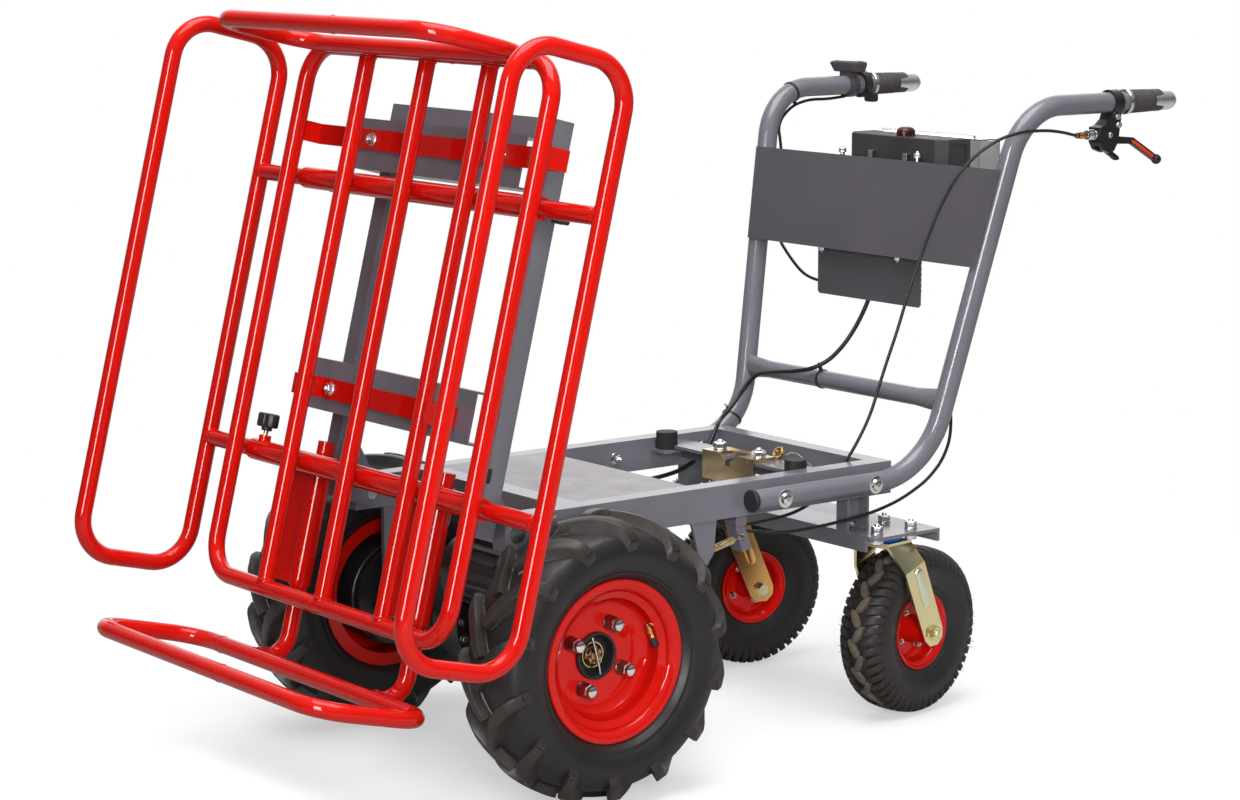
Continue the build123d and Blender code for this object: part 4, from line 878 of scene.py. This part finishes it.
def tread_lug(bm):
    """Curved lug: steep sides, a fillet at the foot, a rounded crest and a slit in its outer end."""
    path = smooth_path(LUG_PATH, LUG_STEPS)
    rows = []
    for index, here in enumerate(path):
        heading = (path[min(index + 1, len(path) - 1)] - path[max(index - 1, 0)]).normalized()
        across = Vector((-heading.y, heading.x))
        share = index / (len(path) - 1)
        # The crest widens away from the tyre's middle and narrows again at the lug's outer end.
        crest = 6.2 + 3.2 * min(1, share * 2.2) - 1.2 * max(0, share - 0.85) / 0.15
        sides = [(-crest - flare, lift) for flare, lift in LUG_FLARE]
        row = []
        for offset, lift in sides + [(-offset, lift) for offset, lift in reversed(sides)]:
            spread = here + across * offset
            (x0, r0), (x1, r1) = section_point(LUG_FOOT, spread.x), section_point(LUG_TOP, spread.x)
            x, r, turn = x0 + (x1 - x0) * lift, r0 + (r1 - r0) * lift, spread.y / LUG_TOP[0][2]
            row.append(bm.verts.new(about_x(x, r, turn)))
        rows.append(row)
    faces = skin(bm, rows)
    slit = faces[5::6][-4:-2]
    bmesh.ops.recalc_face_normals(bm, faces=faces)
    bmesh.ops.inset_region(bm, faces=slit, thickness=SLIT_RIM, depth=0.0)
    bmesh.ops.inset_region(bm, faces=slit, thickness=SLIT_SLOPE, depth=-SLIT_DEPTH)
    return round_crest(bm, rows, 2.2, 1)


def front_tyre(bm, side):
    """Tractor tyre with two rows of curved lugs, set half a pitch apart."""
    revolved_ring(bm, TYRE_HALF, 112)
    ring_of(bm, tread_lug(bm), LUG_COUNT)
    ring_of(bm, flipped(bm, tread_lug(bm)), LUG_COUNT, 0.5)
    middle = Matrix.Translation(spot(WHEEL_X - TYRE_INSET, AXLE_Y, AXLE_Z))
    settle(bm, Matrix.Diagonal((side, 1, 1, 1)) @ middle)


each_side(front_tyre, "tyre", "wheel", "tyre_rubber", (TYRE_RUBBER, TREAD_RUBBER), "front_tyre")

STUD_SPOTS = circle_spots(50.0, 62, 422, 90)
NUT_ZINC = plated("nut_zinc", (0.33, 0.30, 0.29), (0.24, 0.22, 0.22), 70.0, (0.3, 0.42))
FLANGE_X, NUT_X, CAP_X = -19, -16, 2
LUG_NUT = (18.4, 18)
NUT_FLANGE = [(0, 0), (11.0, 0), (11.0, 1.2), (9.6, 3.2), (0, 3.2)]
NUT_CAP = [(0, 0), (8.5, 0), (8.8, 0.8), (8.8, 3.4), (7.8, 5.4), (5.2, 6.8), (2.4, 7.3), (0, 7.4)]


def wheel_spot(side, x, y=0, z=0):
    """Point of a front wheel, from its own middle."""
    return spot(side * (WHEEL_X + x), AXLE_Y + y, AXLE_Z + z)


def wheel_nuts(bm, side):
    """Long dark hexagon nuts with bright domed caps."""
    out = (side, 0, 0)
    for y, z in STUD_SPOTS:
        turned(bm, NUT_FLANGE, wheel_spot(side, FLANGE_X, y, z), out, 24)
        hexagon(bm, wheel_spot(side, NUT_X, y, z), out, *LUG_NUT, turn=0.4)
        turned(bm, NUT_CAP, wheel_spot(side, CAP_X, y, z), out, 24, 1)


each_side(wheel_nuts, "wheel_nuts", "wheel", "bright_zinc", (NUT_ZINC, BRIGHT_METAL), "lug_nuts")

DRUM_R = 80.0
SHAFT_R = 12.5
SHAFT_END = -242.0
CUP_FLOOR = -33.0
HUB_SECTION = [
    (0, CUP_FLOOR), (28.4, CUP_FLOOR), (29, -31), (29, -15.4), (29.6, -14), (30.8, -13.2), (32.2, -13.2),
    (33.2, -14), (33.5, -15.2), (33.5, -22), (70, -22), (DRUM_R - 3, -23.6), (DRUM_R, -26), (DRUM_R, -84.5),
    (DRUM_R - 1.5, -86), (66, -86), (66, -34), (26, -34), (24, -46), (SHAFT_R, -46), (SHAFT_R, SHAFT_END),
    (0, SHAFT_END),
]


def wheel_hub(bm, side):
    """Black hub with its brake drum, half shaft and an open cup that stands just clear of the rim's disc."""
    turned(bm, HUB_SECTION, wheel_spot(side, 0), (side, 0, 0), 64)


each_side(wheel_hub, "wheel_hub", "wheel", "black_paint", (BLACK_PAINT,), "front_hub")

BRONZE = plated("old_bronze", (0.70, 0.44, 0.24), (0.36, 0.24, 0.15), 120.0, (0.3, 0.45))
SEAL_X = -27
CASTLE_NUT = (27, 10)
CASTLE_TOOTH = (-23.6, -3.6, 7.4), (-18.4, 3.6, 12.2)
SEAL = [(17.0, 0), (18.6, 0), (18.6, 2.4), (17.0, 2.4), (17.0, 0)]
THREAD = [(0, 0), (7.4, 0), (7.4, 13), (6.4, 15), (4.6, 15.4), (3.6, 14.4), (0, 14.2)]
SPLIT_PIN = [(-17, -6.8, 27), (-15.6, -4, 15), (-15, -1, 3), (-15, 2, -9), (-15.6, 5, -20), (-17, 7, -27)]


def hub_fittings(bm, side):
    """Castle nut on the shaft's end with its split pin, and a thin brass seal, all inside the hub's cup."""
    out = (side, 0, 0)
    turned(bm, SEAL, wheel_spot(side, SEAL_X), out, 40, 1)
    hexagon(bm, wheel_spot(side, CUP_FLOOR), out, *CASTLE_NUT, turn=0.2, coat=2)
    wheel = Matrix.Translation(wheel_spot(side, 0)) @ Matrix.Diagonal((side, 1, 1, 1))
    for step in range(6):
        verts = bevelled_box(bm, *CASTLE_TOOTH, 0.8, 2)
        turn = Matrix.Rotation(pi / 3 * step, 4, "X") @ Matrix.Translation(-spot(0, 0, 0))
        bmesh.ops.transform(bm, matrix=wheel @ turn, verts=verts)
    turned(bm, THREAD, wheel_spot(side, CUP_FLOOR), out, 28, 2)
    wire(bm, [wheel_spot(side, *p) for p in SPLIT_PIN], 1.7)


each_side(hub_fittings, "hub_fittings", "wheel", "bright_metal", (BRIGHT_METAL, BRASS, BRONZE))

VALVE_FOOT = Vector((0, 79.5, 33.5))
VALVE_WAY = Vector((15, -1, -18))
GROMMET = [(0, -4), (8.4, -3), (8.4, -0.5), (6.6, 1.2), (4.8, 3), (4.4, 6), (0, 6)]
VALVE_STEM = [(0, -2), (4.6, -2), (4.6, 8), (3.6, 9), (3.6, 12), (4.2, 12.6), (4.2, 21), (0, 21)]
VALVE_CAP = [(0, 20), (5.2, 20), (5.5, 21), (5.5, 29), (4.4, 31.4), (0, 32)]


def tyre_valve(bm, side):
    """Rubber grommet, brass stem and black cap of the tyre valve."""
    way = Vector((side * VALVE_WAY.x, VALVE_WAY.y, VALVE_WAY.z)).normalized()
    foot = wheel_spot(side, *VALVE_FOOT)
    inward = -VALVE_FOOT.normalized()
    turned(bm, GROMMET, foot - inward * 0.004, inward, 24)
    turned(bm, VALVE_STEM, foot + inward * 0.001, way, 20, 1)
    turned(bm, VALVE_CAP, foot + inward * 0.001, way, 20)


each_side(tyre_valve, "tyre_valve", "wheel", "black_rubber", (BLACK_RUBBER, BRASS))

# Casters: yellow zinc forks on blue seals, with pneumatic tyres of staggered dusty blocks and shoulder bars
# on red rims, which are bolted together and turn on a through bolt with nuts.

CASTER_X = 206.0
CASTER_Y = 592.0
CASTER_TRAIL = 66.0
CASTER_R = 130.0
CASTER_TURN = radians(8.5)
# Lighter green zinc for the near fork's ribs: painted reflection, a tint that stands in for the brighter
# reflections on the raised ribs.
RIB_REFLECTION_ZINC = plated("green_rib_reflection_zinc", (0.78, 0.88, 0.70), (0.90, 0.84, 0.60), 24.0, (0.14, 0.20))
PINK_ZINC = plated("pink_zinc", (0.98, 0.52, 0.18), (0.94, 0.58, 0.20), 16.0, (0.18, 0.26))
BLUE_SEAL = moulded("blue_seal", (0.01, 0.10, 0.46), (0.3, 0.45))
dress(YELLOW_ZINC, "caster_fork_left")
dress(PINK_ZINC, "caster_fork_right")
dress(BRIGHT_ZINC, "caster_plates")
dress(BLUE_SEAL, "swivel_seals")
dress(RED_PAINT, "caster_rim_left", "caster_rim_right")

BAR_COUNT = 50
BLOCK_COUNT = 17
VENT_COUNT = 36
BLOCK_RUBBER = moulded("block_rubber", (0.105, 0.084, 0.067), (0.55, 0.7), (420.0, 0.2), 0.8,
                       (0.24, 0.19, 0.145), 1.0, 0.25)
# Shoulder bars in a lighter copy of the carcass rubber: painted light on the bars' tops against the shaded
# gaps between them, with real brown dust on them as well.
LIT_BAR_RUBBER = moulded("bar_rubber_painted_light", (0.021, 0.0182, 0.0175), (0.50, 0.62), (420.0, 0.15), 0.35,
                     (0.20, 0.16, 0.12), 0.4)
CASTER_RUBBER = moulded("caster_rubber", (0.016, 0.0145, 0.0147), (0.38, 0.50), (500.0, 0.08), 0.2, reach=0.2,
                        shine=0.42)
CASTER_HALF = (
    [(0, 123)] + arc((0, 123), (18, 122), (34, 116.5), 6) + arc((34, 116.5), (40, 94), (33.5, 72), 12)
    + [(32.4, 70.4), (33.0, 68.6), (31.8, 66.6), (28.6, 63), (27.2, 61.4), (26.5, 60), (26.5, 57.6),
       (21, 52.1)]
)
SHOULDER_BAR = [
    ((15.5, 129.2), (15.5, 121), -4.4, 5.2, 5.9), ((24, 128), (23.5, 119), -1.6, 5.4, 6.1),
    ((31, 125), (29.5, 116), 0.8, 5.4, 6.1), ((36, 119.6), (33, 112), 2.4, 5.2, 6.0),
    ((38.6, 113.5), (36, 108), 3.2, 4.6, 5.6), ((39.6, 108), (38, 104), 3.6, 3.6, 4.6),
]
CENTRE_BLOCK = [
    ((-4.5, 129.8), (-5.5, 121), -10.0, 3.4, 4.8), ((1.5, 130), (1.5, 121), -4.0, 9.4, 10.8),
    ((7, 130), (7, 121), 3.0, 9.4, 10.8), ((13.2, 129.4), (14, 121), 9.0, 3.4, 4.8),
]
SWIVEL = Matrix.Translation(spot(CASTER_X, CASTER_Y, 0)) @ Matrix.Rotation(CASTER_TURN, 4, "Z")


def caster_place(side):
    """Matrix that carries a caster wheel, made about the X axis, under one end of the cross arm."""
    axle = Matrix.Translation((0, CASTER_TRAIL / 1000, CASTER_R / 1000))
    return Matrix.Diagonal((side, 1, 1, 1)) @ SWIVEL @ axle


def tread_bar(bm, stations, soft, coat):
    """Raised bar of tread about X through stations: top (across, radius), foot (across, radius), place round
    the tyre, half width of the top and of the foot, in millimetres."""
    rows = []
    for top, foot, middle, crest, spread in stations:
        row = []
        for (x, r), offset in ((foot, -spread), (top, -crest), (top, crest), (foot, spread)):
            row.append(bm.verts.new(about_x(x, r, (middle + offset) / top[1])))
        rows.append(row)
    skin(bm, rows)
    return round_crest(bm, rows, soft, coat)


def caster_tyre(bm, side):
    """Block-tread tyre: two staggered rows of centre blocks, bars down both shoulders, and vent hairs."""
    revolved_ring(bm, CASTER_HALF, 88)
    for bar, soft, coat, count, offset in ((CENTRE_BLOCK, 0.7, 1, BLOCK_COUNT, 0.0),
                                           (SHOULDER_BAR, 0.9, 2, BAR_COUNT, 0.25)):
        ring_of(bm, tread_bar(bm, bar, soft, coat), count, offset)
        ring_of(bm, flipped(bm, tread_bar(bm, bar, soft, coat)), count, offset + 0.5)
    for step in range(2 * VENT_COUNT):
        turn = 2 * pi * (step + 0.3 * sin(5 * step)) / VENT_COUNT
        way = 1 if step % 2 else -1
        hair = [(way * 38.5, 108), (way * 41.5, 111 + step % 3), (way * 43, 114 + 2 * (step % 3))]
        wire(bm, [about_x(x, r, turn) for x, r in hair], 0.35, 4)
    settle(bm, caster_place(side))


each_side(caster_tyre, "caster_tread", "caster_wheel", "tyre_rubber",
          (CASTER_RUBBER, BLOCK_RUBBER, LIT_BAR_RUBBER), "caster_tyre")

RIM_BOLT_SPOTS = circle_spots(31.0, 30, 390, 90)
RIM_FACE = 4.0
RIM_BOLT = (9, 6.2, 5, 3)
FORK_FACE = 51.0
NUT_SEAT = 52.5
AXLE_END = 59.0
AXLE_NUT = (20.8, 7)
AXLE_WASHER = [(0, 0), (12.5, 0), (12.5, 1.2), (11.8, 1.8), (0, 1.8)]


def caster_faces(side):
    """Matrix of a caster wheel, with the way out on each of its two faces."""
    place = caster_place(side)
    return place, [(way, place.to_3x3() @ Vector((way, 0, 0))) for way in (-1, 1)]


def rim_bolts(bm, side):
    """Bolts that hold the two halves of a caster rim together."""
    place, faces = caster_faces(side)
    for way, out in faces:
        for y, z in RIM_BOLT_SPOTS:
            bolted(bm, place @ (Vector((way * RIM_FACE, y, z)) / 1000), out, *RIM_BOLT)


each_side(rim_bolts, "caster_rim_bolts", "caster_wheel", "bright_zinc", (BRIGHT_ZINC,))


def axle_nuts(bm, side):
    """Nut and bolt head on the outsides of a caster fork."""
    place, faces = caster_faces(side)
    for way, out in faces:
        turned(bm, AXLE_WASHER, place @ Vector((way * FORK_FACE / 1000, 0, 0)), out)
        hexagon(bm, place @ Vector((way * NUT_SEAT / 1000, 0, 0)), out, *AXLE_NUT, turn=0.5)
    thread_end(bm, place @ Vector((AXLE_END / 1000, 0, 0)), out, 5.6, 4)


each_side(axle_nuts, "axle_nuts", "caster", "yellow_zinc", (YELLOW_ZINC,))

RIB_MIDDLE = (51.0, 36.5, 206.5)
RIB_WAY = Vector((0, 0.4, -1)).normalized()
RIB_LENGTH = 69.0
RIB_WIDTH = 17.0
RIB_HEIGHT = 4.4
RIB_SOFT = 3.8


def fork_ribs(bm, side):
    """Pressed ribs on the outsides of a caster fork's legs, with rolled edges."""
    radius = RIB_WIDTH / 2000
    straight = RIB_LENGTH / 2000 - radius
    outward = Vector((1, 0, 0))
    turn = Matrix((RIB_WAY, outward.cross(RIB_WAY), outward)).transposed().to_4x4()
    for way in (-1, 1):
        outline = bmesh.ops.create_circle(bm, cap_ends=True, segments=40, radius=radius)["verts"]
        for vert in outline:
            vert.co.x += straight if vert.co.x > 0 else -straight
        cut = soften(bm, raised(bm, outline[0].link_faces[0], (0, 0, RIB_HEIGHT)), RIB_SOFT, 4)
        place = Matrix.Diagonal((way, 1, 1, 1)) @ Matrix.Translation(Vector(RIB_MIDDLE) / 1000) @ turn
        verts = reached([v for v in outline if v.is_valid] + cut)
        bmesh.ops.transform(bm, matrix=place, verts=verts)
    settle(bm, Matrix.Diagonal((side, 1, 1, 1)) @ SWIVEL)


# The near fork's ribs take the lighter green zinc, which paints their brighter reflection; the far fork's ribs
# match their fork.
for hand, side, zinc in (("left", 1, RIB_REFLECTION_ZINC), ("right", -1, PINK_ZINC)):
    bm = bmesh.new()
    fork_ribs(bm, side)
    piece(f"fork_ribs_{hand}", bm, f"caster_{hand}", "yellow_zinc", zinc)

# Tipping bed: the rack of red tube. The bars, slides and legs are welded in with round beads, the loops close
# with a ring weld, zinc bolts hold the strips to the grey tilt frame, and black star knobs clamp the wings.

BED_Y = -212.6
BED_Z = 437.4
BED_LEAN = radians(14.08)
UP_BED = Vector((0, sin(BED_LEAN), cos(BED_LEAN)))
OUT_BED = Vector((0, -cos(BED_LEAN), sin(BED_LEAN)))
TUBE_R = 12.5
SEAT_R = TUBE_R - 0.5
dress(RED_PAINT, "bed_panel", "rear_wall", "bed_sleeves", "mounting_strips", "wing_left", "wing_right",
      "front_wall")


def bed_spot(x, v, n):
    """Point of the tipping bed: x across, v up the rack, n towards the load."""
    return spot(x, BED_Y, BED_Z) + UP_BED * v / 1000 + OUT_BED * n / 1000


def bead(bm, centre, direction, radius, width=3.4):
    """Round weld bead where one tube meets another."""
    half, foot = width / 2, radius - 0.6
    ring = [(foot, -half), (radius + 1.0, -half * 0.8), (radius + 1.7, 0), (radius + 1.0, half * 0.8),
            (foot, half), (foot, -half)]
    turned(bm, ring, centre, direction, 36)


def ring_weld(bm, x, v, n):
    """Bead where the ends of a loop of tube meet."""
    bead(bm, bed_spot(x, v, n), (1, 0, 0), TUBE_R - 0.9, 4)


PANEL_V = (-188.5, 605.0)
PANEL_N = 28.0
REAR_WALL_N = 216.0
BAR_X = (-153, 0, 153)
BAR_R = 12.2
SLEEVE_V = (0, 411)

bm = bmesh.new()
for x in BAR_X:
    for v in (PANEL_V[0] + SEAT_R, PANEL_V[1] - SEAT_R):
        bead(bm, bed_spot(x, v, PANEL_N), UP_BED, BAR_R)
for x, v, n in ((-12, PANEL_V[0], PANEL_N), (60, PANEL_V[1], PANEL_N), (40, PANEL_V[1], REAR_WALL_N)):
    ring_weld(bm, x, v, n)
piece("panel_welds", bm, "bed", "red_paint", RED_PAINT)

WALL_V = -289.0
WALL_N = (26, 206)
LEG_X = 155
bm = bmesh.new()
for x in (-LEG_X, LEG_X):
    bead(bm, bed_spot(x, WALL_V, WALL_N[0] - SEAT_R), OUT_BED, TUBE_R)
for x, n in zip((-236, 60), WALL_N):
    ring_weld(bm, x, WALL_V, n)
piece("front_wall_welds", bm, "front_wall", "red_paint", RED_PAINT)

WING_X = 429.0


def wing_welds(bm, side):
    """Beads where a wing's slides meet its loop."""
    for v in SLEEVE_V:
        bead(bm, bed_spot(side * (WING_X - SEAT_R), v, 0), (side, 0, 0), TUBE_R)


each_side(wing_welds, "wing_welds", "wing", "red_paint", (RED_PAINT,))

STRIP_FACE = -13.0
STRIP_BOLT = (13, 10, 6, 3)
bm = bmesh.new()
for x, v in ((-163, 479), (163, 479), (-145, 111), (145, 111)):
    bolted(bm, bed_spot(x, v, STRIP_FACE), OUT_BED, *STRIP_BOLT)
piece("strip_bolts", bm, "bed", "bright_zinc", BRIGHT_ZINC)

KNOB_R = 14.2
KNOB_LOBES = 6
KNOB_LOW = 35.0
KNOB_HEIGHT = 21.0
KNOB_SOFT = 3.0
KNOB_NECK = [(0, 30), (7.5, 30), (8, 31), (8, 35.5), (0, 35.5)]
SCREW_LOW = 13.5
LOBE_SHARE = 0.12


def star_knob(name, x, v, way):
    """Lobed black knob on a zinc clamp screw."""
    bm = bmesh.new()
    outline = bmesh.ops.create_circle(bm, cap_ends=True, segments=72, radius=KNOB_R / 1000)["verts"]
    for vert in outline:
        vert.co *= 1 + LOBE_SHARE * cos(KNOB_LOBES * Vector((1, 0)).angle_signed(vert.co.xy))
    raised(bm, outline[0].link_faces[0], (0, 0, KNOB_HEIGHT))
    soften(bm, [e for e in bm.edges if abs(e.verts[0].co.z - e.verts[1].co.z) < 1e-6], KNOB_SOFT, 3)
    seat = bed_spot(x, v, 0)
    settle(bm, Matrix.Translation(seat + way * KNOB_LOW / 1000) @ along(way))
    turned(bm, KNOB_NECK, seat, way, 24)
    thread_end(bm, seat + way * SCREW_LOW / 1000, way, 4, 20, 1)
    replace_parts(piece(name + "_star", bm, name, "black_plastic", BLACK_PLASTIC, YELLOW_ZINC), name)


for hand, side in (("left", 1), ("right", -1)):
    star_knob(f"knob_lower_{hand}", side * 273, SLEEVE_V[0], UP_BED)
    star_knob(f"knob_upper_{hand}", side * 280, SLEEVE_V[1], -OUT_BED)

# Studio: a pale floor that runs to white, soft light from overhead, from the camera's side and from behind,
# one tall lamp that draws the long highlights on the tubes, and the camera at the photograph's place.


def floor_material():
    """Pale floor to the camera, running to white further out, and a duller one in what it throws back."""
    material, tree, shader = blank_material("studio_floor")
    shader.inputs["Base Color"].default_value = (0.94, 0.94, 0.94, 1)
    shader.inputs["Roughness"].default_value = 0.9
    shader.inputs["Specular IOR Level"].default_value = 0.1
    coords = add_node(tree, "TexCoord").outputs["Object"]
    reach = add_node(tree, "VectorMath", {0: coords}, operation="LENGTH").outputs["Value"]
    glow = add_node(tree, "Emission", {"Color": (1, 1, 1, 1), "Strength": 1.0})
    share = remap(tree, reach, 0.6, 2.0, 0.45, 1.0)
    pale = add_node(tree, "MixShader", {0: share, 1: shader.outputs[0], 2: glow.outputs[0]})
    path = add_node(tree, "LightPath").outputs
    back = mix_colour(tree, path["Is Glossy Ray"], (0.27, 0.26, 0.25, 1), (0.46, 0.45, 0.44, 1))
    dull = add_node(tree, "BsdfDiffuse", {"Color": back})
    mix = add_node(tree, "MixShader", {0: path["Is Camera Ray"], 1: dull.outputs[0], 2: pale.outputs[0]})
    tree.links.new(mix.outputs[0], tree.nodes["Material Output"].inputs["Surface"])
    return material


FLOOR_HALF = 60.0
bm = bmesh.new()
bmesh.ops.create_grid(bm, x_segments=2, y_segments=2, size=FLOOR_HALF)
mesh = bpy.data.meshes.new("floor")
bm.to_mesh(mesh)
bm.free()
mesh.materials.append(floor_material())
floor = bpy.data.objects.new("floor", mesh)
bpy.context.scene.collection.objects.link(floor)

BACK_WALL = (-0.79, 0.61, 0.0)


def studio_world():
    """White to the camera; as a light it is brightest overhead, and metal also sees a bright wall behind."""
    world = bpy.data.worlds.new("studio_world")
    bpy.context.scene.world = world
    world.use_nodes = True
    tree = world.node_tree
    back = tree.nodes["Background"]
    back.inputs["Color"].default_value = (1, 1, 1, 1)
    way = add_node(tree, "TexCoord").outputs["Generated"]
    up = add_node(tree, "SeparateXYZ", {0: way}).outputs["Z"]
    path = add_node(tree, "LightPath").outputs
    wall = times(tree, path["Is Glossy Ray"], remap(tree, alike(tree, way, BACK_WALL), 0.5, 0.95, 0.0, 1.35))
    light = maths(tree, "ADD", remap(tree, up, 0.05, 0.9, 0.05, 0.55), wall)
    seen = maths(tree, "MAXIMUM", path["Is Camera Ray"], path["Is Transmission Ray"])
    tree.links.new(remap(tree, seen, 0.0, 1.0, light, 1.0), back.inputs["Strength"])


studio_world()


def lamp(name, place, aim, size, power, fills=True, shines=True):
    """Rectangular soft lamp aimed at a point, which fills the shade, draws highlights or does both."""
    light = bpy.data.lights.new(name, "AREA")
    light.shape = "RECTANGLE"
    light.size, light.size_y = size
    light.energy = power
    made = bpy.data.objects.new(name, light)
    made.location = place
    made.visible_diffuse = fills
    made.visible_glossy = shines
    made.rotation_euler = (Vector(aim) - Vector(place)).to_track_quat("-Z", "Y").to_euler()
    bpy.context.scene.collection.objects.link(made)


AIM = (0, 0, 0.45)
lamp("overhead", (0.4, -0.4, 3.6), AIM, (2.6, 2.6), 125)
lamp("camera_fill", (3.5, -2.15, 1.5), AIM, (1.4, 1.4), 142, shines=False)
lamp("back_fill", (-2.8, 3.0, 2.0), AIM, (1.6, 1.6), 45, shines=False)
lamp("highlight_box", (1.7, -3.6, 1.5), (0, -0.6, 0.75), (1.0, 2.2), 160, fills=False)

CAMERA_PLACE = (3622.8, -2540.8, 1248.4)
CAMERA_FORWARD = Vector((-0.78226, 0.60180, -0.16097))
CAMERA_LENS = 89.65
SENSOR_WIDTH = 36.0
camera = bpy.data.objects.new("camera", bpy.data.cameras.new("camera"))
camera.location = spot(*CAMERA_PLACE)
camera.rotation_euler = CAMERA_FORWARD.to_track_quat("-Z", "Y").to_euler()
camera.data.lens = CAMERA_LENS
camera.data.sensor_width = SENSOR_WIDTH
camera.data.sensor_fit = "HORIZONTAL"
bpy.context.scene.collection.objects.link(camera)
bpy.context.scene.camera = camera
bpy.context.scene.view_settings.view_transform = "Standard"
